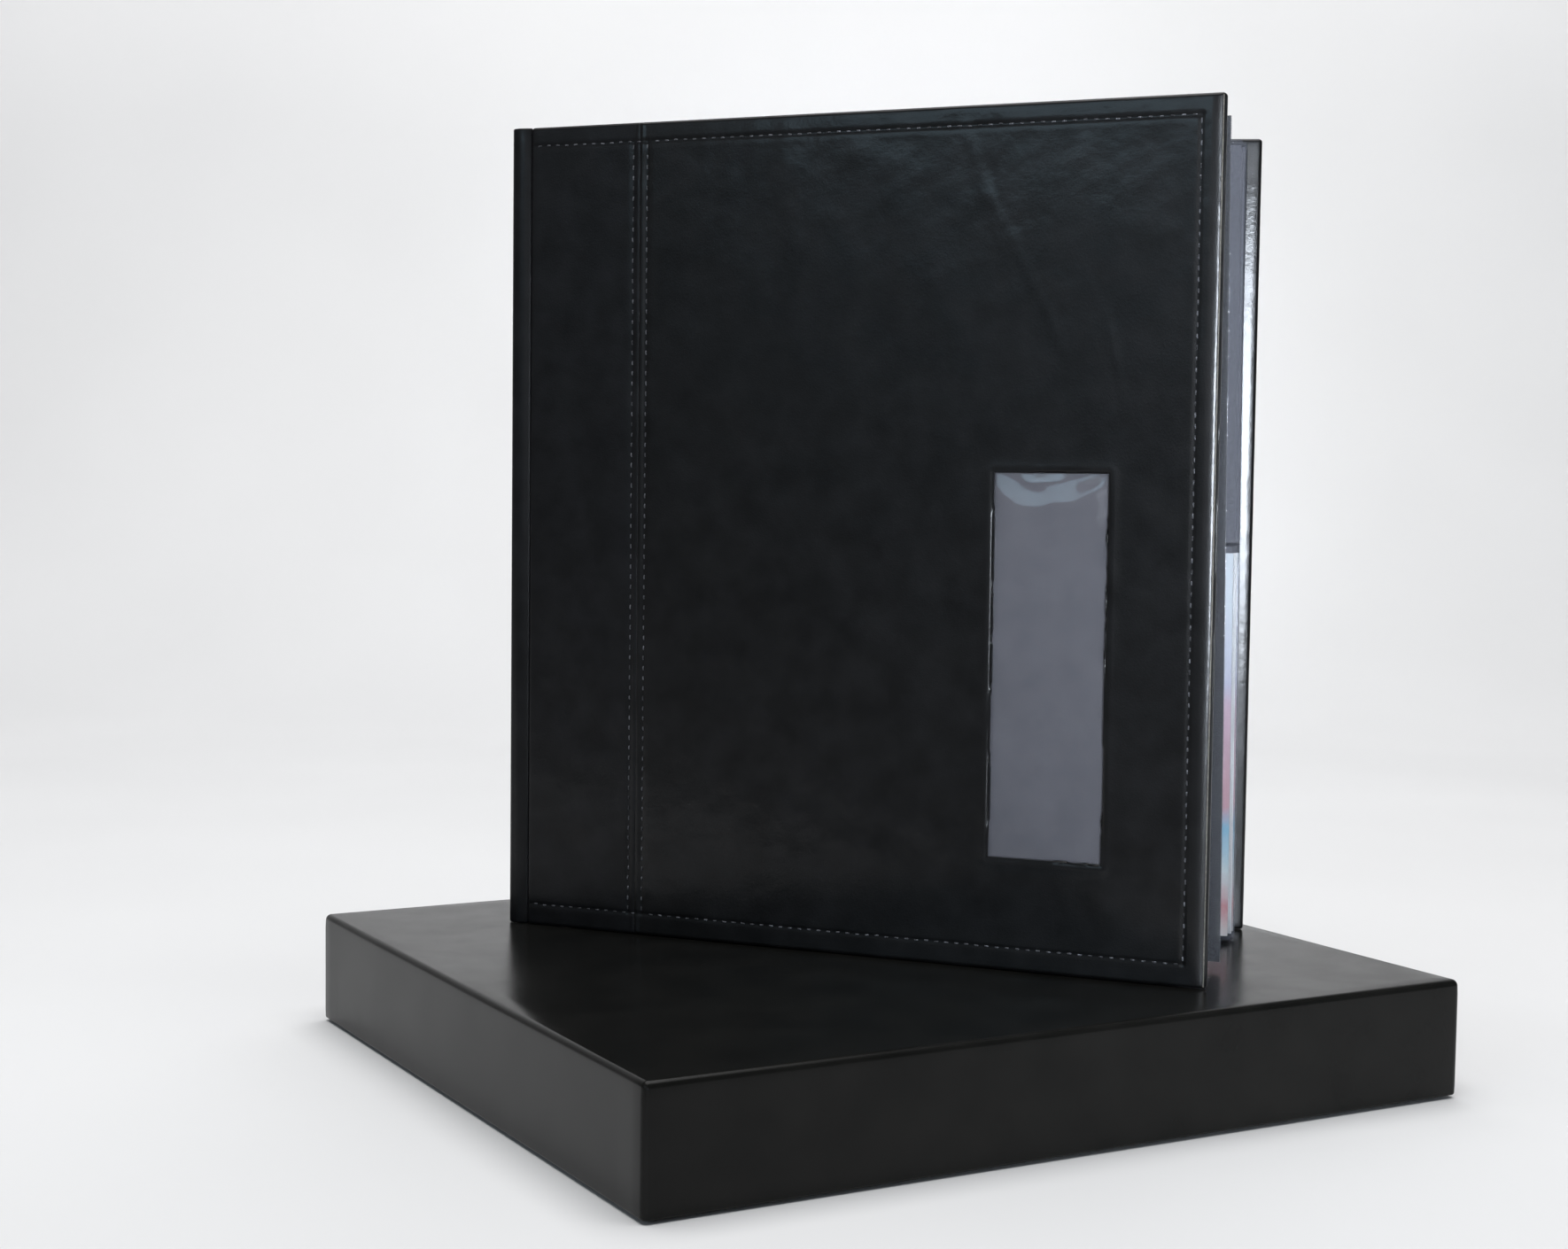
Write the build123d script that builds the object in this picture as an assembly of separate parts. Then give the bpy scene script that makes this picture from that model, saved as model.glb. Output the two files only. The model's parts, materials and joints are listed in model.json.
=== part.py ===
"""An archival storage box and the ring album it stores, with the album standing ajar on the lid.

Row frame: the origin is the middle of the box's underside, X runs along the box's long side, Y along its
short side, and Z is up. Everything is in millimetres.

The album is drawn in its own closed frame and then stood on the lid. In that frame x runs from the spine
to the fore-edge, y from the front cover's face to the back cover's face, and z up from the tail edge.
"""
import math
import os

from build123d import *

# ---------------------------------------------------------------- box sizes
BOX_LENGTH = 335.0
BOX_WIDTH = 305.0
BOX_HEIGHT = 44.5
LID_RIM_HEIGHT = 1.2        # the lid's rim stops this far above the table
LID_TO_TRAY_SIDE = 0.8      # sliding clearance on each side
LID_TO_TRAY_TOP = 0.1
COVERING = 0.5              # leatherette on the outside of the boards
BOARD = 2.2
LINING = 0.3
TURN_IN = 12.0              # covering folded over a rim and glued inside
STAY = 0.25                 # paper tape round each corner of the boards
STAY_LEG = 14.0
BOX_EDGE_ROUND = 2.4

# ---------------------------------------------------------------- album sizes
ALBUM_HEIGHT = 320.0
COVER_WIDTH = 288.0
ALBUM_THICKNESS = 34.0
COVER_START = 9.0           # the covers' boards start here, past the spine joint
COVER_THICKNESS = 4.0
LEATHER = 0.7
WINDOW_BOARD = 1.4
COVER_BOARDS = 2.8
COVER_LINING = 0.5
COVER_EDGE_ROUND = 1.4
LINING_INSET = 4.5          # turned-in leather left showing round the lining
LEATHER_TURN_IN = 15.0
JOINT_X = 6.5               # each cover turns about a line this far from the spine's face
JOINT_DEPTH = 1.0           # and this far under its own face
SEAM_X = 57.8               # where the spine leather meets the cover panel
SEAM_STITCH = 3.0           # rows of stitches this far each side of that seam
STITCH_TOP = 7.5
STITCH_EDGE = 8.4
STITCH_START = 1.5
THREAD_WIDTH = 0.5
THREAD_PROUD = 0.2

WINDOW_LEFT, WINDOW_RIGHT = 204.8, 248.2
WINDOW_BOTTOM, WINDOW_TOP = 42.2, 185.2
WINDOW_LEATHER = 0.6        # leather folded through the window's edge
FILM = 0.25
LABEL = 0.35
LABEL_LAP = 7.0             # the film and label reach this far behind the frame

SPINE_LEATHER = 0.8
SPINE_BOARD = 2.2
SPINE_LINING = 0.4
SPINE_ROUND = 2.5
SPINE_BOARD_INSET = 2.5
SHOULDER_END = 4.5          # the spine's leather turns this far along each cover
JOINT_LEATHER_END = 8.6

# ---------------------------------------------------------------- ring mechanism
RING_PITCH = 108.0
PLATE_LEFT, PLATE_RIGHT = 14.0, 40.0
PLATE_LENGTH = 270.0
PLATE_HEIGHT = 3.8
PLATE_SHEET = 1.0
PLATE_ROUND = 2.2
SLOT_CLEARANCE = 0.3
POST_X = 36.0
ARCH_X = 18.0
WIRE = 3.0
POST_TIP_Y = 13.9
ARCH_GAP = 0.2
ARCH_TOP_Y = 9.8
ARCH_CORNERS = (3.5, 6.0)
ARCH_FOOT_Y = 28.2
BLADE_X = 20.0              # the arches swing about the middle of the blade
BLADE_WIDTH = 5.0
BLADE = 0.8
RIVET = 3.2
RIVET_HEAD = 6.4
RIVET_HEAD_DEPTH = 0.9
RIVET_HEAD_ROUND = 0.7
RIVET_FROM_END = 14.0

# ---------------------------------------------------------------- leaves
LEAF_Y = (24.4, 22.5, 20.6, 18.7, 16.8)
LEAF_FAN = (0.5, 1.2, 1.9, 2.7, 3.6)
FLYLEAF_Y = 15.2
FLYLEAF_FAN = 16.0
FLYLEAF_RIGHT = 279.5
LEAF_BOTTOM, LEAF_TOP = 2.5, 317.5
LEAF_RIGHT = 281.4
STRIP_LEFT, STRIP_RIGHT = 28.0, 45.5
CREASE_X = 46.3
LEAF_LEFT = 46.8
LEAF = 1.3
LEAF_FILM = 0.15
CARD = 0.5
CARD_FROM_CREASE = 0.8
CARD_FROM_EDGE = 0.7
CARD_BEHIND_PRINT = 0.4       # how far a print stands out past its card
PRINT = 0.22
FLYLEAF_SHEET = 0.6
FLYLEAF_FILM = 0.15
FLYLEAF_SLACK = 0.2
STRIP_HOLE = 6.5
POCKET_ROWS = ((4.5, 157.5), (162.5, 315.5))
POCKET_MIDDLE = (163.0, 166.6)
PRINT_WIDTH, PRINT_HEIGHT = 102.0, 152.0
PRINT_FROM_CREASE = 8.0
PRINT_RIGHT = (281.0, 281.2, 280.7, 279.6, 277.8)   # how far in each leaf's outer print was slid

# ---------------------------------------------------------------- where the album stands
STAND_X, STAND_Y = -106.5, 102.6    # the front cover's spine edge
STAND_ANGLE = -52.3                 # the front cover, from the box's long side
OPENING = 18.6                      # between the covers
STAND_GAP = 0.2
STAND_Z = BOX_HEIGHT + STAND_GAP

PARTS = "parts"


def slab(x0, x1, y0, y1, z0, z1):
    """A block between two corners, given in any order along y."""
    low_y, high_y = min(y0, y1), max(y0, y1)
    middle = Pos((x0 + x1) / 2, (low_y + high_y) / 2, (z0 + z1) / 2)
    return middle * Box(x1 - x0, high_y - low_y, z1 - z0)


def inset_slab(length, width, inset, z0, z1):
    """A block centred on Z, smaller than length by width by the inset on each side."""
    return slab(-length / 2 + inset, length / 2 - inset, -width / 2 + inset, width / 2 - inset, z0, z1)


def separate(*shapes):
    """One node of several separate solids."""
    return Compound([solid for shape in shapes for solid in shape.solids()])


# ---------------------------------------------------------------- rigid box halves
def rounded_tray_block(length, width, inset, z0, z1, radius):
    """A block with its upright and bottom edges rounded."""
    block = inset_slab(length, width, inset, z0, z1)
    upright = block.edges().filter_by(Axis.Z)
    bottom = block.edges().group_by(Axis.Z)[0]
    return fillet(upright + bottom, radius)


def corner_stays(length, width, core, z0, z1):
    """Four strips of paper tape, each folded round a corner of the board walls."""
    skins = COVERING + STAY
    inner = rounded_tray_block(length, width, skins, z0 - 1, z1 + 1, BOX_EDGE_ROUND - skins)
    skin = (core & inset_slab(length, width, 0, z0, z1)) - inner
    stays = []
    for side_x in (-1, 1):
        for side_y in (-1, 1):
            x = side_x * (length / 2 - COVERING)
            y = side_y * (width / 2 - COVERING)
            corner = Pos(x, y, (z0 + z1) / 2) * Box(2 * STAY_LEG, 2 * STAY_LEG, z1 - z0)
            stays.append(skin & corner)
    return stays


def board_box(length, width, height):
    """Every piece of a covered board tray that stands on z = 0 with its rim up."""
    wall_out = COVERING
    wall_in = COVERING + BOARD
    clear = COVERING + BOARD + LINING
    rim = height - COVERING
    turn_in_end = rim - TURN_IN

    outer = rounded_tray_block(length, width, 0, 0, height, BOX_EDGE_ROUND)
    core = rounded_tray_block(length, width, wall_out, wall_out, rim, BOX_EDGE_ROUND - COVERING)
    hollow = inset_slab(length, width, clear, clear, height + 1)
    behind_lining = inset_slab(length, width, wall_in, turn_in_end, rim)
    turned_in = behind_lining - hollow

    pieces = {"covering": outer - core - hollow + turned_in}
    pieces["lining"] = inset_slab(length, width, wall_in, wall_in, turn_in_end) - hollow
    pieces["base_board"] = core & inset_slab(length, width, 0, wall_out, wall_in)

    stays = corner_stays(length, width, core, wall_in, rim)
    pieces["corner_stays"] = separate(*stays)
    ring = (core & inset_slab(length, width, 0, wall_in, rim)) - inset_slab(length, width, wall_in, 0, height)
    for stay in stays:
        ring = ring - stay
    inner_x, inner_y = length / 2 - wall_in, width / 2 - wall_in
    pieces["wall_right"] = ring & slab(inner_x, length, -inner_y, inner_y, 0, height)
    pieces["wall_left"] = ring & slab(-length, -inner_x, -inner_y, inner_y, 0, height)
    pieces["wall_front"] = ring & slab(-length, length, -width, -inner_y, 0, height)
    pieces["wall_back"] = ring & slab(-length, length, inner_y, width, 0, height)
    return pieces


def box_tray():
    """The tray, with its base sheet cut from the covering that wraps the walls."""
    skins = COVERING + BOARD + LINING
    length = BOX_LENGTH - 2 * (skins + LID_TO_TRAY_SIDE)
    width = BOX_WIDTH - 2 * (skins + LID_TO_TRAY_SIDE)
    height = BOX_HEIGHT - skins - LID_TO_TRAY_TOP
    pieces = board_box(length, width, height)
    base_sheet = inset_slab(length, width, TURN_IN, 0, COVERING)
    pieces["covering"] = pieces["covering"] - base_sheet
    pieces["base_covering"] = base_sheet
    return {"tray_" + name: shape for name, shape in pieces.items()}


def box_lid():
    """The lid, which is a tray turned over."""
    pieces = board_box(BOX_LENGTH, BOX_WIDTH, BOX_HEIGHT - LID_RIM_HEIGHT)
    pieces["top_board"] = pieces.pop("base_board")
    pieces["wall_front"], pieces["wall_back"] = pieces["wall_back"], pieces["wall_front"]
    turned_over = Pos(0, 0, BOX_HEIGHT) * Rot(180, 0, 0)
    return {"lid_" + name: turned_over * shape for name, shape in pieces.items()}


# ---------------------------------------------------------------- covers
def depth(side, d):
    """The album's y at depth d under a cover's outer face."""
    return d if side == "front" else ALBUM_THICKNESS - d


def cover_slab(side, x0, x1, d0, d1, z0, z1):
    return slab(x0, x1, depth(side, d0), depth(side, d1), z0, z1)


def window_slab(margin, d0, d1):
    """The label window, grown by a margin on each side."""
    left, right = WINDOW_LEFT - margin, WINDOW_RIGHT + margin
    return cover_slab("front", left, right, d0, d1, WINDOW_BOTTOM - margin, WINDOW_TOP + margin)


def cover_board(side, d0, d1):
    left, right = COVER_START + LEATHER, COVER_WIDTH - LEATHER
    return cover_slab(side, left, right, d0, d1, LEATHER, ALBUM_HEIGHT - LEATHER)


def cover_lining(side):
    """The inner lining, thinner where it laps the turned-in leather."""

    def layer(inset, thickness):
        left, right = COVER_START + inset, COVER_WIDTH - inset
        top = ALBUM_HEIGHT - inset
        return cover_slab(side, left, right, COVER_THICKNESS - thickness, COVER_THICKNESS, inset, top)

    return layer(LEATHER_TURN_IN, COVER_LINING) + layer(LINING_INSET, LINING)


def cover_leather(side):
    """The cover's whole leather: its face, its wrapped edges and its turn-ins."""
    envelope = cover_slab(side, COVER_START, COVER_WIDTH, 0, COVER_THICKNESS, 0, ALBUM_HEIGHT)
    envelope = fillet(envelope.edges(), COVER_EDGE_ROUND)
    return envelope - cover_board(side, LEATHER, LEATHER + COVER_BOARDS) - cover_lining(side)


def split_at_seam(side, leather):
    """The spine leather's strip and the cover panel, which meet at the stitched seam."""
    tall = ALBUM_HEIGHT + 1
    strip = leather & cover_slab(side, 0, SEAM_X, -1, COVER_THICKNESS + 1, -1, tall)
    panel = leather & cover_slab(side, SEAM_X, COVER_WIDTH + 1, -1, COVER_THICKNESS + 1, -1, tall)
    return strip, panel


def stitching(side):
    """One thread to each row of stitches, lying on the leather."""
    top, right = ALBUM_HEIGHT - STITCH_TOP, COVER_WIDTH - STITCH_EDGE
    bottom, left = STITCH_EDGE, COVER_START + STITCH_START
    half, clear = THREAD_WIDTH / 2, THREAD_WIDTH
    rows = []
    for z in (bottom, top):
        rows.append(cover_slab(side, left, right - clear, -THREAD_PROUD, 0, z - half, z + half))
    for x in (SEAM_X - SEAM_STITCH, SEAM_X + SEAM_STITCH, right):
        rows.append(cover_slab(side, x - half, x + half, -THREAD_PROUD, 0, bottom + clear, top - clear))
    return separate(*rows)


def front_cover():
    """The front cover: two boards with a label window between them, wrapped in leather."""
    window_back = LEATHER + WINDOW_BOARD
    window_board = cover_board("front", LEATHER, window_back)
    frame_leather = window_slab(WINDOW_LEATHER, LEATHER, window_back) - window_slab(0, LEATHER, window_back)
    strip, panel = split_at_seam("front", cover_leather("front"))
    panel = panel - window_slab(0, -1, LEATHER) + frame_leather
    label_room = window_slab(LABEL_LAP, window_back, window_back + FILM + LABEL)
    return {
        "front_window_board": window_board - window_slab(WINDOW_LEATHER, 0, window_back),
        "front_backing_board": cover_board("front", window_back, LEATHER + COVER_BOARDS) - label_room,
        "front_panel_leather": panel,
        "front_strip_leather": strip,
        "front_lining": cover_lining("front"),
        "front_stitching": stitching("front"),
        "window_film": window_slab(LABEL_LAP, window_back, window_back + FILM),
        "label_card": window_slab(LABEL_LAP, window_back + FILM, window_back + FILM + LABEL),
    }


def back_cover():
    strip, panel = split_at_seam("back", cover_leather("back"))
    return {
        "back_board": cover_board("back", LEATHER, LEATHER + COVER_BOARDS),
        "back_panel_leather": panel,
        "back_strip_leather": strip,
        "back_lining": cover_lining("back"),
        "back_stitching": stitching("back"),
    }


# ---------------------------------------------------------------- spine
def spine():
    """The spine board, its leather and lining, and the leather that bends at each cover joint."""
    outside = slab(0, SHOULDER_END + SPINE_ROUND, 0, ALBUM_THICKNESS, 0, ALBUM_HEIGHT)
    outside = fillet(outside.edges().filter_by(Axis.Z).group_by(Axis.X)[0], SPINE_ROUND)
    low, high = SPINE_LEATHER, ALBUM_THICKNESS - SPINE_LEATHER
    inside = slab(SPINE_LEATHER, SHOULDER_END + 2 * SPINE_ROUND, low, high, -1, ALBUM_HEIGHT + 1)
    inside = fillet(inside.edges().filter_by(Axis.Z).group_by(Axis.X)[0], SPINE_ROUND - SPINE_LEATHER)
    reach = slab(-1, SHOULDER_END, -1, ALBUM_THICKNESS + 1, -1, ALBUM_HEIGHT + 1)
    low, high = SPINE_BOARD_INSET, ALBUM_THICKNESS - SPINE_BOARD_INSET
    board_end = SPINE_LEATHER + SPINE_BOARD
    pieces = {
        "spine_leather": (outside - inside) & reach,
        "spine_board": slab(SPINE_LEATHER, board_end, low, high, LEATHER, ALBUM_HEIGHT - LEATHER),
        "spine_lining": slab(board_end, board_end + SPINE_LINING, low, high, LEATHER, ALBUM_HEIGHT - LEATHER),
    }
    for side in ("front", "back"):
        pieces[side + "_joint_leather"] = cover_slab(
            side, SHOULDER_END, JOINT_LEATHER_END, JOINT_DEPTH - LEATHER, JOINT_DEPTH, 0, ALBUM_HEIGHT
        )
    return pieces


# ---------------------------------------------------------------- ring mechanism
def ring_heights():
    middle = ALBUM_HEIGHT / 2
    return [middle + step * RING_PITCH for step in (-1, 0, 1)]


def rivet_heights():
    end = RIVET_FROM_END - PLATE_LENGTH / 2
    return [ALBUM_HEIGHT / 2 + end, ALBUM_HEIGHT / 2 - end]


def along_y(x, z, y0, y1, radius):
    """A round bar or hole along y."""
    return Pos(x, (y0 + y1) / 2, z) * Rot(90, 0, 0) * Cylinder(radius, abs(y1 - y0))


def ring_plate():
    """The sheet channel that the rings stand on, with a round hole at each post and a slot at each arch."""
    floor = ALBUM_THICKNESS - COVER_THICKNESS
    top = floor - PLATE_HEIGHT
    z0, z1 = (ALBUM_HEIGHT - PLATE_LENGTH) / 2, (ALBUM_HEIGHT + PLATE_LENGTH) / 2
    block = slab(PLATE_LEFT, PLATE_RIGHT, top, floor, z0, z1)
    block = fillet(block.edges().filter_by(Axis.Z).group_by(Axis.Y)[0], PLATE_ROUND)
    room_left, room_right = PLATE_LEFT + PLATE_SHEET, PLATE_RIGHT - PLATE_SHEET
    plate = block - slab(room_left, room_right, top + PLATE_SHEET, floor + 1, z0 - 1, z1 + 1)
    slot_half = WIRE / 2 + SLOT_CLEARANCE
    for z in ring_heights():
        plate = plate - along_y(POST_X, z, top - 1, floor, WIRE / 2)
        plate = plate - slab(ARCH_X - WIRE, ARCH_X + WIRE, top - 1, floor, z - slot_half, z + slot_half)
    for z in rivet_heights():
        plate = plate - along_y((PLATE_LEFT + PLATE_RIGHT) / 2, z, top - 1, floor, RIVET / 2)
    return plate


def ring_rivets():
    """Two rivets that hold the plate to the back cover."""
    floor = ALBUM_THICKNESS - COVER_THICKNESS
    top = floor - PLATE_HEIGHT
    x = (PLATE_LEFT + PLATE_RIGHT) / 2
    rivets = []
    for z in rivet_heights():
        shank = along_y(x, z, top, floor, RIVET / 2)
        head = along_y(x, z, top - RIVET_HEAD_DEPTH, top, RIVET_HEAD / 2)
        head = fillet(head.edges().group_by(Axis.Y)[0], RIVET_HEAD_ROUND)
        rivets.append(shank + head)
    return separate(*rivets)


def ring_posts():
    """The straight side of each ring, fixed in the plate."""
    floor = ALBUM_THICKNESS - COVER_THICKNESS
    foot = floor - PLATE_HEIGHT + PLATE_SHEET
    return separate(*[along_y(POST_X, z, POST_TIP_Y, foot, WIRE / 2) for z in ring_heights()])


def ring_arches():
    """The curved side of each ring, which swings away from its post."""
    start_y = POST_TIP_Y - ARCH_GAP
    arches = []
    for z in ring_heights():
        tip, foot = (POST_X, start_y, z), (ARCH_X, ARCH_FOOT_Y, z)
        path = FilletPolyline(
            tip, (POST_X, ARCH_TOP_Y, z), (ARCH_X, ARCH_TOP_Y, z), foot, radius=list(ARCH_CORNERS)
        )
        section = Plane(origin=tip, z_dir=(0, -1, 0)) * Circle(WIRE / 2)
        arches.append(sweep(section, path))
    return separate(*arches)


def ring_blade():
    """The strip inside the plate that carries the arches."""
    z0, z1 = ring_heights()[0] - 10, ring_heights()[-1] + 10
    left, right = BLADE_X - BLADE_WIDTH / 2, BLADE_X + BLADE_WIDTH / 2
    return slab(left, right, ARCH_FOOT_Y, ARCH_FOOT_Y + BLADE, z0, z1)


# ---------------------------------------------------------------- leaves
def binding_strips():
    """The punched edge of every leaf, held on the posts."""
    strips = []
    for y in (*LEAF_Y, FLYLEAF_Y):
        half = LEAF / 2 if y != FLYLEAF_Y else FLYLEAF_SHEET / 2 + FLYLEAF_FILM
        strip = slab(STRIP_LEFT, STRIP_RIGHT, y - half, y + half, LEAF_BOTTOM, LEAF_TOP)
        for z in ring_heights():
            strip = strip - along_y(POST_X, z, y - 1, y + 1, STRIP_HOLE / 2)
        strips.append(strip)
    return separate(*strips)


def pockets(y, half, left, right):
    """The four pockets of a leaf: the outer two open at the fore-edge and the inner two at the crease."""
    columns = ((left, POCKET_MIDDLE[0]), (POCKET_MIDDLE[1], right))
    return [slab(x0, x1, y - half, y + half, z0, z1) for z0, z1 in POCKET_ROWS for x0, x1 in columns]


def leaf_sleeve(y):
    sleeve = slab(LEAF_LEFT, LEAF_RIGHT, y - LEAF / 2, y + LEAF / 2, LEAF_BOTTOM, LEAF_TOP)
    for pocket in pockets(y, LEAF / 2 - LEAF_FILM, LEAF_LEFT - 1, LEAF_RIGHT + 1):
        sleeve = sleeve - pocket
    return sleeve


def leaf_cards(y, right):
    """A grey card in each of the four pockets. The lower outer one was slid in along with its prints."""
    cards = pockets(y, CARD / 2, LEAF_LEFT + CARD_FROM_CREASE, LEAF_RIGHT - CARD_FROM_EDGE)
    z0, z1 = POCKET_ROWS[0]
    cards[1] = slab(POCKET_MIDDLE[1], right - CARD_BEHIND_PRINT, y - CARD / 2, y + CARD / 2, z0, z1)
    return separate(*cards)


def leaf_prints(y, right):
    """Two prints back to back in each lower pocket, on both sides of its card."""
    z0 = POCKET_ROWS[0][0]
    prints = []
    for x0 in (LEAF_LEFT + PRINT_FROM_CREASE, right - PRINT_WIDTH):
        for face in (-1, 1):
            near = y + face * CARD / 2
            prints.append(slab(x0, x0 + PRINT_WIDTH, near, near + face * PRINT, z0, z0 + PRINT_HEIGHT))
    return separate(*prints)


def flyleaf():
    """The embossed front leaf and the clear sleeve folded round its fore-edge."""
    half = FLYLEAF_SHEET / 2
    outer = half + FLYLEAF_FILM
    low, high = FLYLEAF_Y - half, FLYLEAF_Y + half
    edge = FLYLEAF_RIGHT - FLYLEAF_FILM
    sheet = slab(LEAF_LEFT, edge - FLYLEAF_SLACK, low, high, LEAF_BOTTOM, LEAF_TOP)
    folded = slab(LEAF_LEFT, FLYLEAF_RIGHT, FLYLEAF_Y - outer, FLYLEAF_Y + outer, LEAF_BOTTOM, LEAF_TOP)
    inside = slab(LEAF_LEFT - 1, edge, low, high, LEAF_BOTTOM - 1, LEAF_TOP + 1)
    return {"flyleaf_sheet": sheet, "flyleaf_sleeve": folded - inside}


# ---------------------------------------------------------------- standing the album on the lid
def stand_front():
    """From the closed album's frame to the front cover and spine, as they stand."""
    return Pos(STAND_X, STAND_Y, STAND_Z) * Rot(0, 0, STAND_ANGLE)


def turn_about(x, y, angle):
    """A turn about an upright line through x, y in the closed album's frame."""
    return Pos(x, y, 0) * Rot(0, 0, angle) * Pos(-x, -y, 0)


def stand_back():
    """To the back cover, which is swung open about its own joint with the spine."""
    return stand_front() * turn_about(JOINT_X, ALBUM_THICKNESS - JOINT_DEPTH, OPENING)


def stand_leaf(y, fan):
    """To a leaf, which is fanned forward about its crease."""
    return stand_back() * turn_about(CREASE_X, y, -fan)


def album():
    """Every piece of the album, standing on the lid."""
    front, back = stand_front(), stand_back()
    pieces = {name: front * shape for name, shape in {**front_cover(), **spine()}.items()}
    fixed = {
        **back_cover(),
        "ring_plate": ring_plate(),
        "ring_rivets": ring_rivets(),
        "ring_posts": ring_posts(),
        "ring_arches": ring_arches(),
        "ring_blade": ring_blade(),
        "binding_strips": binding_strips(),
    }
    pieces.update({name: back * shape for name, shape in fixed.items()})
    for number, (y, fan, right) in enumerate(zip(LEAF_Y, LEAF_FAN, PRINT_RIGHT), start=1):
        place = stand_leaf(y, fan)
        pieces[f"leaf_{number}_sleeve"] = place * leaf_sleeve(y)
        pieces[f"leaf_{number}_cards"] = place * leaf_cards(y, right)
        pieces[f"leaf_{number}_prints"] = place * leaf_prints(y, right)
    place = stand_leaf(FLYLEAF_Y, FLYLEAF_FAN)
    pieces.update({name: place * shape for name, shape in flyleaf().items()})
    return pieces


def main():
    os.makedirs(PARTS, exist_ok=True)
    for name, shape in {**box_tray(), **box_lid(), **album()}.items():
        export_step(shape, os.path.join(PARTS, name + ".step"))


main()
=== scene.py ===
"""The looks of an archival box and the ring album standing ajar on its lid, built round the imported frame.

Blender objects are in metres in the row's frame. The album's pieces are drawn in millimetres in the album's
own closed frame and then placed by their joints: x runs from the spine to the fore-edge, depth from a
cover's outer face inwards, and z up from the tail edge.
"""

import json
import math

import bmesh
import bpy
import numpy as np
from mathutils import Matrix, Vector


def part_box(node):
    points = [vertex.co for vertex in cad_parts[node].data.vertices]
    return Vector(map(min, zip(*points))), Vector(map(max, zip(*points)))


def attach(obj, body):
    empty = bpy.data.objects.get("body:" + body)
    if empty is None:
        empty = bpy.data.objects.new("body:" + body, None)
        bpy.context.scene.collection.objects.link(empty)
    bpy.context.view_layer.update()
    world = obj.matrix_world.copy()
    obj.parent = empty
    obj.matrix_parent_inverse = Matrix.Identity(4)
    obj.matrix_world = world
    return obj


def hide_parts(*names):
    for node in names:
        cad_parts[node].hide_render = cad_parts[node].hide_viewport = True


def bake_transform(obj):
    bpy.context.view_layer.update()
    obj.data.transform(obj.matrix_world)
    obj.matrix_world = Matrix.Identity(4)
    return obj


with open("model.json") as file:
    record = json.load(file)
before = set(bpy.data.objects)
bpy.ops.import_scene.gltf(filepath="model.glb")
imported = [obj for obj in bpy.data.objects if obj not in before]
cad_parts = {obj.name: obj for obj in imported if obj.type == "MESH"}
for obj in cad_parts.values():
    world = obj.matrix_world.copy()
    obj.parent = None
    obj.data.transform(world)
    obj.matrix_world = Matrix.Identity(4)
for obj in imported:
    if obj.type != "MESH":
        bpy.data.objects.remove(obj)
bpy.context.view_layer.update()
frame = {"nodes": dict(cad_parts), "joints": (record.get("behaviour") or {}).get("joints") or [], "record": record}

MM = 0.001
JOINTS = {joint["name"]: joint for joint in frame["joints"]}

# ------------------------ sizes of the covers and spine, in millimetres
HEIGHT = 320.0
COVER_WIDTH = 288.0
THICKNESS = 34.0
COVER_START = 9.0  # the covers' boards start here, past the spine joint
COVER = 4.0
BACK_SPARE = 1.2  # how much wider the back cover's turned leather makes it
LEATHER = 0.7
EDGE_ROUND = 1.4
BEVEL_WIDTH = 4.0  # the outer face falls away over this much of the fore-edge
TURN_IN = 15.0
LINING_INSET = 4.5
JOINT_X, JOINT_DEPTH = 6.5, 1.0
SPINE_ROUND = 2.5
SEAM_X = 57.8
SEAM_STITCH = 3.0  # rows of stitches this far each side of that seam
STITCH_TOP = 7.5
STITCH_EDGE = 8.4
STITCH_PITCH = 4.0
STITCH_LENGTH, THREAD_WIDTH = 1.9, 0.58

# ------------------------ sizes of the label window
WINDOW = (204.8, 248.2, 42.2, 185.2)  # left, right, bottom, top
WINDOW_DEPTH = 2.15
WINDOW_ROUND = 1.1
LABEL_LAP = 7.0  # the film and label reach this far behind the frame

# ------------------------ sizes of the leaves
LEAF_YS = (24.4, 22.5, 20.6, 18.7, 16.8)
FLYLEAF_Y = 15.2
LEAF_BOTTOM, LEAF_TOP = 2.5, 317.5
CREASE_X = 46.3
LEAF_LEFT, LEAF_RIGHT = 46.8, 281.4
FLYLEAF_RIGHT = 279.5
LEAF = 1.3
LEAF_DROP, LEAF_LEAN = 1.9, (0.0, 2.6)  # how a leaf's fore-edge hangs: down, and out at its top and bottom
FLYLEAF_LEAN = (-1.5, 1.8)
SLEEVE_PAST_PRINT = 1.2  # a sleeve ends this far past its own prints
WELD_GAP = 0.12  # half of what is left between the films at a weld
WELD_LINES = (0.0, 0.6, 1.4, 2.4)  # mesh lines this far from a weld
FILM = 0.1
POCKET_MIDDLE = (163.0, 166.6)
PRINT_WIDTH, PRINT_HEIGHT = 102.0, 152.0
PRINT_FROM_CREASE = 8.0
PRINT_BOTTOM = 4.5
PRINT = 0.22
PRINT_RIGHT = (281.0, 281.2, 280.7, 279.6, 277.8)  # how far in each leaf's outer print was slid
CARD = 0.5
CARD_ROWS = ((4.5, 159.2), (160.8, 315.5))
CARD_FROM_CREASE, CARD_FROM_EDGE = 0.8, 0.7
CARD_BEHIND_PRINT = 0.4  # how far a print stands out past its card

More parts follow.
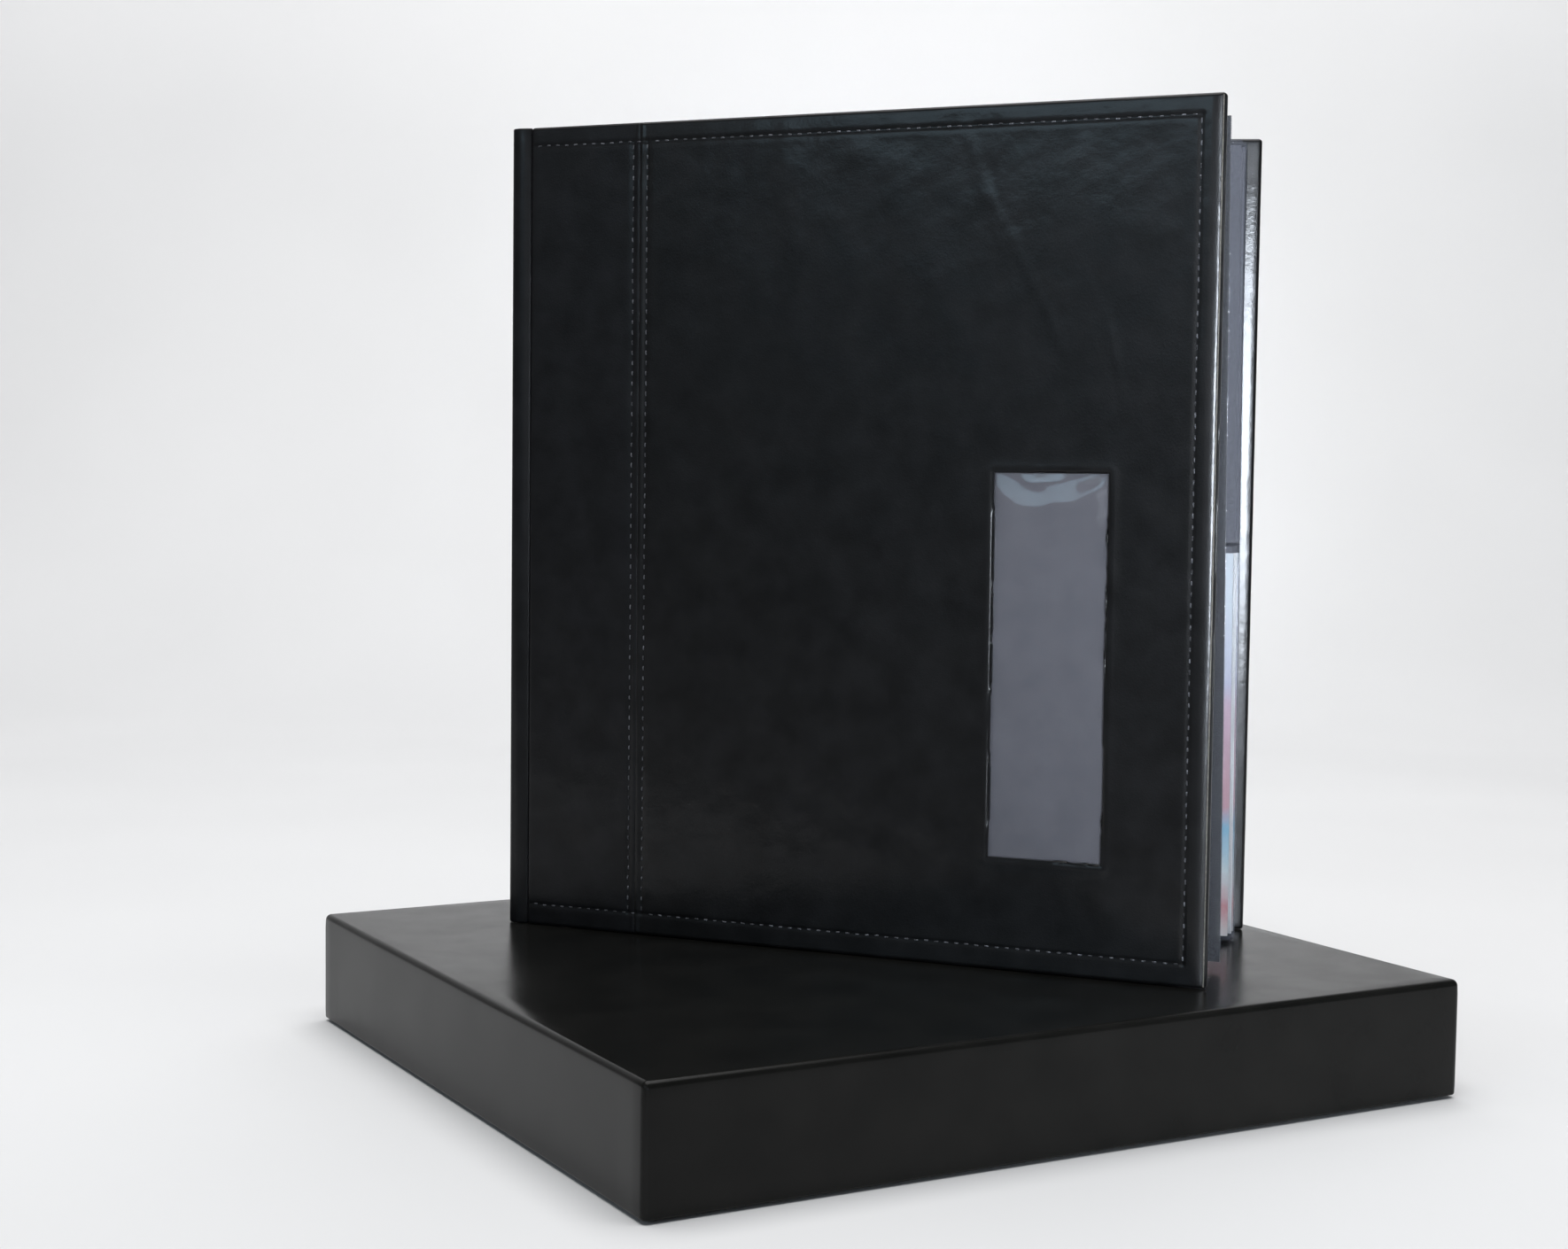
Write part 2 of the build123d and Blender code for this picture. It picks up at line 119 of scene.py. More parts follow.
# ------------------------ sizes of the box
BOX_ROUND = 2.4
COVERING = 0.5
BOARD = 2.2
LINING = 0.3
BOX_TURN_IN = 12.0
RIM_ROUND = 0.9
FACE_RINGS, WALL_RINGS, TURNED_RINGS = 27, 14, 4  # over the face, down the wall and up the turned-in edge
RIM_RINGS = 14  # the last rings, round the rim and inside, which stay even
SIDE_STEPS, CORNER_STEPS = 46, 6  # along a ring
FACE_GAP = 1.0  # left open in the middle of the face, then closed
DOUBLED = 15.0  # how far the covering is folded round each corner, in two layers

# ------------------------ shared by all
EDGE_LINES = (0.0, 0.15, 0.4, 0.75, 1.1, 1.4)  # mesh lines this far from a rounded edge
UV_UNIT = 100.0
rng = np.random.RandomState(11)


# ------------------------ placing
def placed_at(joint, angle, x, y):
    """From the album's closed frame, in millimetres, to where a joint's child stands, in metres."""
    turn = Matrix.Translation(JOINTS[joint]["pos_m"]) @ Matrix.Rotation(angle, 4, "Z")
    return turn @ Matrix.Scale(MM, 4) @ Matrix.Translation((-x, -y, 0))


across = Vector(JOINTS["back_cover_open"]["pos_m"]) - Vector(JOINTS["front_cover_open"]["pos_m"])
STAND_ANGLE = math.atan2(across.y, across.x) - math.pi / 2
OPENING = math.radians(-JOINTS["back_cover_open"]["range_deg"][0])
FRONT = placed_at("front_cover_open", STAND_ANGLE, JOINT_X, JOINT_DEPTH)
BACK = placed_at("back_cover_open", STAND_ANGLE + OPENING, JOINT_X, THICKNESS - JOINT_DEPTH)
RATIOS = {c["joint"]: c["ratio"] for c in frame["record"]["behaviour"]["couplings"]}


def leaf_place(joint, y):
    """A leaf is fanned forward by its share of the covers' opening."""
    angle = STAND_ANGLE + OPENING * (1 - RATIOS[joint])
    return placed_at(joint, angle, CREASE_X, y)


# ------------------------ mesh helpers
def grid_lines(start, end, step, near_start=(), near_end=(), extra=()):
    """Rising grid lines about a step apart, with closer ones at the ends and at the extra places."""
    inner_start = start + (max(near_start) if near_start else 0)
    inner_end = end - (max(near_end) if near_end else 0)
    count = max(1, round((inner_end - inner_start) / step))
    lines = list(np.linspace(inner_start, inner_end, count + 1))
    fixed = [start + d for d in near_start] + [end - d for d in near_end] + list(extra)
    clear = step * 0.3
    lines = [v for v in lines if all(abs(v - f) > clear for f in fixed)]
    return np.array(sorted(set(lines + fixed + [start, end])))


def grid_box(xs, ys, zs):
    """The points and outward quads of a box's six faces, each a grid on the given lines."""
    index, points, quads = {}, [], []

    def at(i, j, k):
        if (i, j, k) not in index:
            index[i, j, k] = len(points)
            points.append((xs[i], ys[j], zs[k]))
        return index[i, j, k]

    nx, ny, nz = len(xs) - 1, len(ys) - 1, len(zs) - 1
    for i in range(nx):
        for k in range(nz):
            quads.append((at(i, 0, k), at(i + 1, 0, k), at(i + 1, 0, k + 1), at(i, 0, k + 1)))
            quads.append((at(i, ny, k), at(i, ny, k + 1), at(i + 1, ny, k + 1), at(i + 1, ny, k)))
    for j in range(ny):
        for k in range(nz):
            quads.append((at(0, j, k), at(0, j, k + 1), at(0, j + 1, k + 1), at(0, j + 1, k)))
            quads.append((at(nx, j, k), at(nx, j + 1, k), at(nx, j + 1, k + 1), at(nx, j, k + 1)))
    for i in range(nx):
        for j in range(ny):
            quads.append((at(i, j, 0), at(i, j + 1, 0), at(i + 1, j + 1, 0), at(i + 1, j, 0)))
            quads.append((at(i, j, nz), at(i + 1, j, nz), at(i + 1, j + 1, nz), at(i, j + 1, nz)))
    return np.array(points, float), np.array(quads, int)


def rounded(points, radius):
    """Rounds a grid box's edges and corners."""
    low, high = points.min(0) + radius, points.max(0) - radius
    core = np.clip(points, low, high)
    away = points - core
    length = np.linalg.norm(away, axis=1, keepdims=True)
    outward = np.divide(away, length, out=np.zeros_like(away), where=length > 0)
    return core + outward * radius


def kept(points, quads, keep):
    """Only the quads that are kept, and the points that they use."""
    quads = quads[keep]
    used = np.unique(quads)
    renumber = np.full(len(points), -1)
    renumber[used] = np.arange(len(used))
    return points[used], renumber[quads]


def waves(a, b, size, seed, count=9):
    """Gentle unevenness between about -1 and 1, from a few crossing ripples about that size across."""
    state = np.random.RandomState(seed)
    total = np.zeros_like(a)
    for _ in range(count):
        angle = state.uniform(0, 2 * math.pi)
        pitch = size * state.uniform(0.7, 1.9)
        phase = state.uniform(0, 2 * math.pi)
        total += np.sin(2 * math.pi * (a * math.cos(angle) + b * math.sin(angle)) / pitch + phase)
    return total / math.sqrt(count) * 0.8


def make_mesh(name, points, quads, place=Matrix.Identity(4), uv=None):
    """A smooth-shaded object. Its UV map holds millimetres over UV_UNIT, so that weaves keep their size."""
    mesh = bpy.data.meshes.new(name)
    mesh.from_pydata([tuple(p) for p in points], [], [tuple(int(i) for i in q) for q in quads])
    if uv is not None:
        layer = mesh.uv_layers.new(name="UVMap")
        corner = np.zeros(len(mesh.loops), int)
        mesh.loops.foreach_get("vertex_index", corner)
        layer.data.foreach_set("uv", (np.asarray(uv)[corner] / UV_UNIT).ravel())
    mesh.transform(place)
    mesh.polygons.foreach_set("use_smooth", [True] * len(mesh.polygons))
    mesh.update()
    piece = bpy.data.objects.new(name, mesh)
    bpy.context.scene.collection.objects.link(piece)
    return piece


def apply_modifiers(piece):
    """Makes what a piece's modifiers do part of its mesh."""
    bpy.context.view_layer.update()
    evaluated = piece.evaluated_get(bpy.context.evaluated_depsgraph_get())
    mesh = bpy.data.meshes.new_from_object(evaluated)
    piece.modifiers.clear()
    piece.data = mesh
    return piece


def thicken(piece, thickness):
    """Gives an open skin its thickness, inwards."""
    modifier = piece.modifiers.new("thickness", "SOLIDIFY")
    modifier.thickness = thickness * MM
    modifier.offset = -1
    modifier.use_rim = True
    modifier.use_quality_normals = True
    return apply_modifiers(piece)


def sharpen(piece, degrees):
    """Marks edges sharper than an angle, so that smooth shading stops at them."""
    piece.data.set_sharp_from_angle(angle=math.radians(degrees))
    return piece


def recalculate(piece, ring=None):
    """Closes a ring of points where one is given, and turns every face outwards."""
    editable = bmesh.new()
    editable.from_mesh(piece.data)
    if ring:
        editable.verts.ensure_lookup_table()
        bmesh.ops.contextual_create(editable, geom=[editable.verts[i] for i in ring])
        bmesh.ops.remove_doubles(editable, verts=editable.verts, dist=1e-6)
    bmesh.ops.recalc_face_normals(editable, faces=editable.faces)
    editable.to_mesh(piece.data)
    editable.free()
    piece.data.polygons.foreach_set("use_smooth", [True] * len(piece.data.polygons))


def dress(piece, finish, slot, body, *replaced):
    """Gives a piece its material, the body it moves with and the nodes it stands for. Its slot is not used."""
    piece.data.materials.clear()
    piece.data.materials.append(finish)
    if body:
        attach(piece, body)
    if replaced:
        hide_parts(*replaced)
    return piece


# ------------------------ materials
class Finish:
    """A Principled material with the nodes that the finishes here share."""

    def __init__(self, name, colour, roughness, metallic=0.0, specular=0.5, alpha=1.0, use_uv=False):
        self.material = bpy.data.materials.new(name)
        self.material.use_nodes = True
        self.shader = self.material.node_tree.nodes["Principled BSDF"]
        self.give(self.shader, Base_Color=(*colour, 1), Roughness=roughness, Metallic=metallic)
        self.give(self.shader, Specular_IOR_Level=specular, Alpha=alpha)
        self.place = self.node("TexCoord").outputs["UV" if use_uv else "Object"]
        self.normal = None

    def give(self, node, **inputs):
        """Sets or links a node's inputs, named with underscores for spaces."""
        for name, value in inputs.items():
            self.feed(node.inputs[name.replace("_", " ")], value)

    def feed(self, socket, value):
        """Links a socket to another node's output, or sets it to a value."""
        if isinstance(value, bpy.types.NodeSocket):
            self.material.node_tree.links.new(value, socket)
        else:
            socket.default_value = value

    def node(self, kind, **inputs):
        """A new node, with some of its inputs set or linked."""
        node = self.material.node_tree.nodes.new("ShaderNode" + kind)
        self.give(node, **inputs)
        return node

    def noise(self, scale, detail=3.0, rough=0.5, stretch=None):
        place = self.place
        if stretch:
            place = self.node("Mapping", Vector=place, Scale=stretch).outputs["Vector"]
        return self.node("TexNoise", Vector=place, Scale=scale, Detail=detail, Roughness=rough).outputs["Fac"]

    def cells(self, scale):
        return self.node("TexVoronoi", Vector=self.place, Scale=scale).outputs["Distance"]

    def threads(self, scale, direction):
        node = self.node("TexWave", Vector=self.place, Scale=scale, Distortion=0.6, Detail=1.0)
        node.wave_type = "BANDS"
        node.bands_direction = direction
        return node.outputs["Fac"]

    def ramp(self, source, low, high, start=0.0, end=1.0):
        """Maps a value from start..end to low..high, colours or numbers."""
        if isinstance(low, (int, float)):
            node = self.node("MapRange", Value=source, From_Min=start, From_Max=end, To_Min=low, To_Max=high)
            return node.outputs["Result"]
        node = self.node("ValToRGB", Fac=source)
        for element, place, colour in zip(node.color_ramp.elements, (start, end), (low, high)):
            element.position = place
            element.color = (*colour, 1)
        return node.outputs["Color"]

    def math(self, operation, first, second):
        """The result of an operation on two values."""
        node = self.node("Math")
        node.operation = operation
        self.feed(node.inputs[0], first)
        self.feed(node.inputs[1], second)
        return node.outputs["Value"]

    def colour(self, source, *ramp):
        """Colours the surface by a value, through a ramp where one is given."""
        self.give(self.shader, Base_Color=self.ramp(source, *ramp) if ramp else source)

    def roughness(self, source, low, high, start=0.3, end=0.7):
        self.give(self.shader, Roughness=self.ramp(source, low, high, start, end))

    def bump(self, height, distance_mm, strength=1.0):
        """Raises the surface by a value, on top of the bumps that it has."""
        node = self.node("Bump", Height=height, Distance=distance_mm * MM, Strength=strength)
        if self.normal is not None:
            self.give(node, Normal=self.normal)
        self.normal = node.outputs["Normal"]
        self.give(self.shader, Normal=self.normal)


def leather_finish(name, low, high, roughness, gloss):
    """Black calf leather: fine pebbled grain, faint cloudy tone and a soft uneven polish."""
    finish = Finish(name, high, roughness, specular=0.2)
    finish.colour(finish.noise(90, 4), low, high, 0.35, 0.7)
    finish.roughness(finish.noise(60, 5, 0.6), roughness - 0.06, roughness + 0.07)
    finish.bump(finish.noise(110, 4, 0.6), 0.16, 0.6)
    finish.bump(finish.noise(420, 3, 0.6), 0.05, 0.5)
    finish.give(finish.shader, Coat_Weight=gloss, Coat_Roughness=0.14, Coat_Normal=finish.normal)
    finish.bump(finish.cells(1500), 0.05, 0.6)
    finish.bump(finish.noise(4200, 2), 0.02, 0.6)
    return finish.material


def covering_finish():
    """Leatherette: smoother than the leather, with a fine even grain and a satin sheen."""
    finish = Finish("covering", (0.008, 0.008, 0.007), 0.24, specular=0.15)
    finish.colour(finish.noise(40, 3), (0.0055, 0.0055, 0.0050), (0.0090, 0.0088, 0.0080), 0.35, 0.7)
    finish.roughness(finish.noise(35, 5, 0.6), 0.20, 0.27)
    finish.bump(finish.noise(25, 2), 0.25, 0.35)
    finish.bump(finish.cells(2300), 0.022, 0.5)
    return finish.material


def cloth_finish(name, low, high):
    """Woven book cloth."""
    finish = Finish(name, high, 0.8, specular=0.3, use_uv=True)
    weave = finish.math("MAXIMUM", finish.threads(60, "X"), finish.threads(60, "Y"))
    finish.colour(finish.math("MULTIPLY", weave, finish.noise(30, 3)), low, high, 0.1, 0.6)
    finish.bump(weave, 0.12, 0.7)
    return finish.material


def paper_finish(name, low, high, roughness=0.85, fibre=900):
    """Paper or card, faintly fibrous."""
    finish = Finish(name, high, roughness, specular=0.3)
    finish.colour(finish.noise(fibre, 4, 0.7), low, high, 0.35, 0.65)
    finish.bump(finish.noise(fibre * 1.5, 3, 0.7), 0.04, 0.5)
    return finish.material


def board_finish():
    """Grey board, with layers showing on its cut edges."""
    finish = Finish("board", (0.2, 0.19, 0.17), 0.9, specular=0.2)
    finish.colour(finish.noise(1400, 4, 0.75), (0.13, 0.12, 0.105), (0.27, 0.255, 0.23), 0.35, 0.65)
    finish.bump(finish.noise(900, 3, 0.7, stretch=(1, 1, 4)), 0.05, 0.5)
    return finish.material


def thread_finish():
    """Waxed thread, unevenly dulled."""
    finish = Finish("thread", (0.10, 0.105, 0.12), 0.5, specular=0.4)
    finish.colour(finish.noise(260, 2), (0.022, 0.023, 0.027), (0.125, 0.13, 0.145), 0.35, 0.65)
    finish.bump(finish.noise(3500, 2), 0.04, 0.7)
    return finish.material


def film_finish(name, alpha, tint, slack_at=None):
    """Clear polypropylene: nearly all of what is seen of it is its glints.

    A window's film is slack near one place, given in millimetres, and lies in curved folds about it.
    """
    finish = Finish(name, tint, 0.08, specular=1.0, alpha=alpha, use_uv=slack_at is not None)
    if slack_at:
        centre = (-slack_at[0] / UV_UNIT, -slack_at[1] / UV_UNIT, 0)
        moved = finish.node("Mapping", Vector=finish.place, Location=centre).outputs["Vector"]
        folds = finish.node("TexWave", Vector=moved, Scale=1.6, Distortion=1.4)
        folds.wave_type, folds.rings_direction = "RINGS", "SPHERICAL"
        finish.give(folds, Detail_Scale=2.0, Phase_Offset=1.0)
        away = finish.node("VectorMath")
        away.operation = "LENGTH"
        finish.feed(away.inputs[0], moved)
        slack = finish.ramp(away.outputs["Value"], 1.0, 0.0, 0.36, 0.50)
        finish.bump(finish.math("MULTIPLY", folds.outputs["Fac"], slack), 1.0)
    else:
        finish.roughness(finish.noise(160, 3), 0.05, 0.16, 0.35, 0.7)
        finish.bump(finish.noise(45, 2), 0.12, 0.5)
    finish.give(finish.shader, IOR=2.0, Coat_Weight=1.0, Coat_Roughness=0.08, Coat_Normal=finish.normal)
    return finish.material


def label_finish():
    """Grey card, faintly mottled and cockled."""
    finish = Finish("label", (0.13, 0.128, 0.155), 0.75, specular=0.3)
    finish.colour(finish.noise(70, 5, 0.6), (0.128, 0.125, 0.145), (0.162, 0.158, 0.180), 0.3, 0.7)
    finish.bump(finish.noise(60, 2, 0.4, stretch=(1, 1, 2.4)), 0.3, 0.35)
    return finish.material


def metal_finish(name, colour, roughness, scratch=0.02):
    """Plated steel, lightly brushed along its height."""
    finish = Finish(name, colour, roughness, metallic=1.0)
    brushed = finish.noise(900, 3, 0.6, stretch=(1, 1, 0.06))
    finish.roughness(brushed, roughness - 0.05, roughness + 0.1)
    finish.bump(brushed, scratch, 0.3)
    return finish.material


def strip_finish():
    """The black plastic of the leaves' punched edges."""
    finish = Finish("leaf_strip", (0.02, 0.02, 0.022), 0.45)
    finish.roughness(finish.noise(300, 3), 0.38, 0.52)
    finish.bump(finish.cells(2600), 0.02, 0.5)
    return finish.material


def flyleaf_finish():
    """A dark sheet embossed all over with small rings."""
    finish = Finish("flyleaf", (0.03, 0.031, 0.034), 0.5, use_uv=True)
    ring = finish.math("PINGPONG", finish.cells(62), 0.22)
    finish.colour(ring, (0.018, 0.019, 0.021), (0.045, 0.047, 0.052), 0.02, 0.2)
    finish.roughness(finish.noise(20, 3), 0.42, 0.58)
    finish.bump(ring, 0.35, 0.6)
    return finish.material


PRINT_SHADES = (  # from a print's foot, as shares of its height
    (0.08, (0.72, 0.70, 0.68)),
    (0.17, (0.62, 0.28, 0.30)),
    (0.24, (0.62, 0.72, 0.74)),
    (0.36, (0.24, 0.50, 0.68)),
    (0.43, (0.58, 0.33, 0.38)),
    (0.66, (0.60, 0.42, 0.52)),
    (0.74, (0.55, 0.56, 0.72)),
    (0.95, (0.66, 0.74, 0.82)),
)


def print_finish(name, border, haze_scale):
    """A glossy print of nothing in particular: bands of haze, with or without a white border."""
    finish = Finish(name, (0.8, 0.8, 0.8), 0.18, specular=0.6, use_uv=True)
    at = finish.node("SeparateXYZ", Vector=finish.place).outputs
    width, height = PRINT_WIDTH / UV_UNIT, PRINT_HEIGHT / UV_UNIT
    haze = finish.math("MULTIPLY", finish.noise(haze_scale, 4), 0.16)
    picture = finish.node("ValToRGB", Fac=finish.math("ADD", finish.math("DIVIDE", at["Y"], height), haze))
    bands = picture.color_ramp.elements
    bands[0].position, bands[1].position = PRINT_SHADES[0][0], PRINT_SHADES[-1][0]
    for position, _ in PRINT_SHADES[1:-1]:
        bands.new(position)
    for element, (_, shade) in zip(bands, PRINT_SHADES):
        element.color = (*shade, 1)
    inside = None
    for axis, size in (("X", width), ("Y", height)):
        for operation, edge in (("GREATER_THAN", border), ("LESS_THAN", size - border)):
            term = finish.math(operation, at[axis], edge)
            inside = term if inside is None else finish.math("MULTIPLY", inside, term)
    mix = finish.node("Mix")
    mix.data_type = "RGBA"
    finish.give(mix, A=(0.82, 0.83, 0.85, 1), B=picture.outputs["Color"], Factor=inside)
    finish.colour(mix.outputs["Result"])
    finish.bump(finish.noise(90, 2), 0.02, 0.4)
    return finish.material


COVERING_LOOK = covering_finish()
PANEL_LOOK = leather_finish("panel_leather", (0.0030, 0.0030, 0.0032), (0.0066, 0.0066, 0.0072), 0.36, 0.22)
SPINE_LOOK = leather_finish("spine_leather", (0.0045, 0.0046, 0.0052), (0.0088, 0.0090, 0.0104), 0.36, 0.10)
CLOTH_LOOK = cloth_finish("book_cloth", (0.006, 0.006, 0.0065), (0.022, 0.022, 0.024))
BOARD_LOOK = board_finish()
LINING_LOOK = paper_finish("box_lining", (0.012, 0.012, 0.012), (0.024, 0.024, 0.024))
TAPE_LOOK = paper_finish("paper_tape", (0.30, 0.22, 0.12), (0.40, 0.31, 0.19), fibre=500)
THREAD_LOOK = thread_finish()
WINDOW_LOOK = film_finish("window_film", 0.12, (0.10, 0.11, 0.13), (WINDOW[0] + 19.0, WINDOW[3] + 22.0))
SLEEVE_LOOK = film_finish("sleeve_film", 0.08, (0.26, 0.28, 0.34))
LABEL_LOOK = label_finish()
CARD_LOOK = paper_finish("pocket_card", (0.118, 0.122, 0.146), (0.158, 0.163, 0.192), 0.6)
CHROME_LOOK = metal_finish("ring_metal", (0.72, 0.72, 0.70), 0.16)
RIVET_LOOK = metal_finish("rivet_metal", (0.68, 0.67, 0.64), 0.22)
BLADE_LOOK = metal_finish("blade_metal", (0.42, 0.42, 0.43), 0.35, 0.05)
STRIP_LOOK = strip_finish()
FLYLEAF_LOOK = flyleaf_finish()
PRINT_LOOKS = (print_finish("print", 0.0, 5), print_finish("bordered_print", 0.03, 8))


# ------------------------ box
def arc(centre, radius, start, end, steps):
    """Points along an arc, between two angles in degrees."""
    angles = [math.radians(start + (end - start) * i / steps) for i in range(steps + 1)]
    return [(centre[0] + radius * math.cos(a), centre[1] + radius * math.sin(a)) for a in angles]


def ring_points(half_x, half_y, inset, z):
    """Points round a rounded rectangle that is smaller than the box by an inset."""
    hx, hy = half_x - inset, half_y - inset
    r = min(max(BOX_ROUND - inset, 0.02), hx, hy)
    corners = ((1, -1, -90), (1, 1, 0), (-1, 1, 90), (-1, -1, 180))
    arcs = [
        arc((sx * (hx - r), sy * (hy - r)), r, start, start + 90, CORNER_STEPS)
        for sx, sy, start in corners
    ]
    points = []
    for turned, following in zip(arcs, arcs[1:] + arcs[:1]):
        (ax, ay), (bx, by) = turned[-1], following[0]
        shares = [i / SIDE_STEPS for i in range(1, SIDE_STEPS)]
        points += [(x, y, z) for x, y in turned]
        points += [(ax + (bx - ax) * t, ay + (by - ay) * t, z) for t in shares]
    return np.array(points)


def covering_profile(half_y, height):
    """The covering's section as (inset, height) pairs, from the middle of its face to its turned-in edge."""
    across, down, up = half_y - FACE_GAP, height - BOX_ROUND, BOX_TURN_IN - RIM_ROUND
    face = [(across - i * (across - BOX_ROUND) / (FACE_RINGS - 1), height) for i in range(FACE_RINGS)]
    corner = arc((BOX_ROUND, down), BOX_ROUND, 90, 180, 7)[1:]
    wall = [(0.0, down - i * (down - RIM_ROUND) / WALL_RINGS) for i in range(1, WALL_RINGS + 1)]
    skins = COVERING + BOARD + LINING
    rim = arc((RIM_ROUND, RIM_ROUND), RIM_ROUND, 180, 270, 4)[1:]
    rim += arc((skins - RIM_ROUND, RIM_ROUND), RIM_ROUND, 270, 360, 4)
    inside = [(skins, RIM_ROUND + i * up / TURNED_RINGS) for i in range(1, TURNED_RINGS + 1)]
    return face + corner + wall + rim + inside


def covering_unevenness(points, half_x, half_y, height, seed):
    """Slack and glue marks in the covering, and the doubled layer where it is folded round each corner."""
    x, y, z = points.T
    swell = 0.16 * waves(x, y + z, 120, seed) + 0.05 * waves(x, y + z, 34, seed + 1)
    on_short_side = (np.abs(x) > half_x - BOX_ROUND * 0.4) & (z < height - BOX_ROUND)
    fold = np.clip((np.abs(y) - (half_y - DOUBLED)) / 0.8, 0, 1)
    return swell * 0.6 + np.where(on_short_side, 0.16 * fold, 0.0)


def ring_outward(ring, number, half_x, half_y):
    """Which way is out for a ring's points: up on the face, and square to the nearest wall below it."""
    if number < FACE_RINGS:
        return np.tile((0.0, 0.0, 1.0), (len(ring), 1))
    on_x = np.abs(ring[:, 0]) - half_x > np.abs(ring[:, 1]) - half_y
    return np.where(on_x[:, None], np.sign(ring) * (1, 0, 0), np.sign(ring) * (0, 1, 0))


def box_covering(name, body, low, high, place, seed, *replaced):
    """The covering of one half of the box, as one closed skin, drawn with its face up."""
    half_x, half_y, height = high.x / MM, high.y / MM, (high.z - low.z) / MM
    rings = [ring_points(half_x, half_y, inset, z) for inset, z in covering_profile(half_y, height)]
    count = len(rings[0])
    quads = [
        (r * count + c, (r + 1) * count + c, (r + 1) * count + d, r * count + d)
        for r in range(len(rings) - 1) for c, d in zip(range(count), [*range(1, count), 0])
    ]
    uneven = [1.0 if r < len(rings) - RIM_RINGS else 0.0 for r in range(len(rings))]
    outward = [ring_outward(ring, r, half_x, half_y) * uneven[r] for r, ring in enumerate(rings)]
    points = np.concatenate(rings)
    shift = covering_unevenness(points, half_x, half_y, height, seed)
    points = points + shift[:, None] * np.concatenate(outward)
    piece = make_mesh(name, points, quads, place @ Matrix.Scale(MM, 4))
    recalculate(piece, range(count))
    thicken(piece, COVERING)
    return dress(piece, COVERING_LOOK, "box_covering", body, *replaced)


def box_pieces():
    """The lid's covering, and the tray's, which is drawn upside down."""
    low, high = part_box("lid_covering")
    upright = Matrix.Translation((0, 0, low.z))
    box_covering("lid_covering_skin", "lid", low, high, upright, 5, "lid_covering")
    low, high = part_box("tray_covering")
    over = Matrix.Translation((0, 0, high.z)) @ Matrix.Rotation(math.pi, 4, "X")
    box_covering("tray_covering_skin", "tray", low, high, over, 8, "tray_covering", "tray_base_covering")


# ------------------------ covers
CREASES = (  # how deep each wrinkle is, and the points it runs through
    (0.085, ((191.4, 312.4), (201.1, 287.1), (211.0, 268.5), (224.3, 243.8), (232.7, 225.4))),
    (0.075, ((236.3, 258.3), (245.6, 243.5), (251.3, 222.2), (254.6, 206.2))),
    (0.05, ((193.4, 300.3), (209.5, 261.1))),
    (0.035, ((160.0, 205.0), (178.0, 176.0), (190.0, 150.0))),
)
ROW_LINES = (-1.6, -1.0, -0.5, 0.0, 0.5, 1.0, 1.6)  # mesh lines beside a row of stitches
SEAM_ROW_LINES = (-1.2, -0.6, 0.0, 0.6, 1.2)
SEAM_LINES = (-1.7, -1.0, -0.6, -0.3, 0.0, 0.3, 0.6, 1.0, 1.7)
WINDOW_LINES = (3.0, 2.2, 1.6, 1.1, 0.75, 0.45, 0.2, 0.05, 0.0, -0.03)


def along_line(x, z, a, b):
    """Each point's distance from a line between two ends, and how far along it is."""
    span = np.subtract(b, a)
    t = np.clip(((x - a[0]) * span[0] + (z - a[1]) * span[1]) / (span @ span), 0, 1)
    return np.hypot(x - a[0] - t * span[0], z - a[1] - t * span[1]), t


def crease_relief(x, z):
    """Soft wrinkles where the leather was pulled over the board."""
    total = np.zeros_like(x)
    for depth, crease in CREASES:
        nearest = np.full_like(x, 1e9)
        for a, b in zip(crease, crease[1:]):
            nearest = np.minimum(nearest, along_line(x, z, a, b)[0])
        total += depth * (np.exp(-((nearest / 1.5) ** 2)) - 0.45 * np.exp(-(((nearest - 3.2) / 2.0) ** 2)))
    return total


def stitch_lines():
    """Every row of stitches on a cover, as its two ends."""
    top, right = HEIGHT - STITCH_TOP, COVER_WIDTH - STITCH_EDGE
    bottom, left = STITCH_EDGE, COVER_START + 1.5
    rows = [((left, bottom), (right, bottom)), ((left, top), (right, top)), ((right, bottom), (right, top))]
    rows += [((SEAM_X + d, bottom), (SEAM_X + d, top)) for d in (-SEAM_STITCH, SEAM_STITCH)]
    return rows


def window_distance(x, z):
    """How far a point is outside the window's edge. Inside, it is negative."""
    left, right, bottom, top = WINDOW
    dx, dz = np.maximum(left - x, x - right), np.maximum(bottom - z, z - top)
    outside = np.hypot(np.maximum(dx, 0), np.maximum(dz, 0))
    return np.where((dx > 0) | (dz > 0), outside, np.maximum(dx, dz))


def cover_edge(side):
    """Where a cover's fore-edge ends. The back cover's turned leather makes it a little wider."""
    return COVER_WIDTH + (BACK_SPARE if side == "back" else 0)


def cover_relief(side, x, z):
    """How far a cover's outer face stands proud of flat, in millimetres."""
    seed = 21 if side == "front" else 27
    relief = 0.06 * waves(x, z, 42, seed) + 0.030 * waves(x, z, 13, seed + 1, 14)
    relief += 0.016 * waves(x, z, 6, seed + 2, 18)
    for a, b in stitch_lines():
        distance, _ = along_line(x, z, a, b)
        relief -= 0.18 * np.exp(-((distance / 0.7) ** 2))
        relief += 0.04 * np.exp(-(((distance - 2.0) / 1.0) ** 2))
    seam = x - SEAM_X
    relief += 0.20 * np.exp(-((seam / 1.6) ** 6)) - 0.16 * np.exp(-((seam / 0.7) ** 2))
    bevel = np.maximum(x - cover_edge(side) + BEVEL_WIDTH, 0)
    relief -= bevel ** 2 / 12.0
    if side == "front":
        relief += crease_relief(x, z)
        e = window_distance(x, z)
        relief += 0.16 * np.exp(-(((e - 2.2) / 1.3) ** 2)) * (e > 0)
    return relief


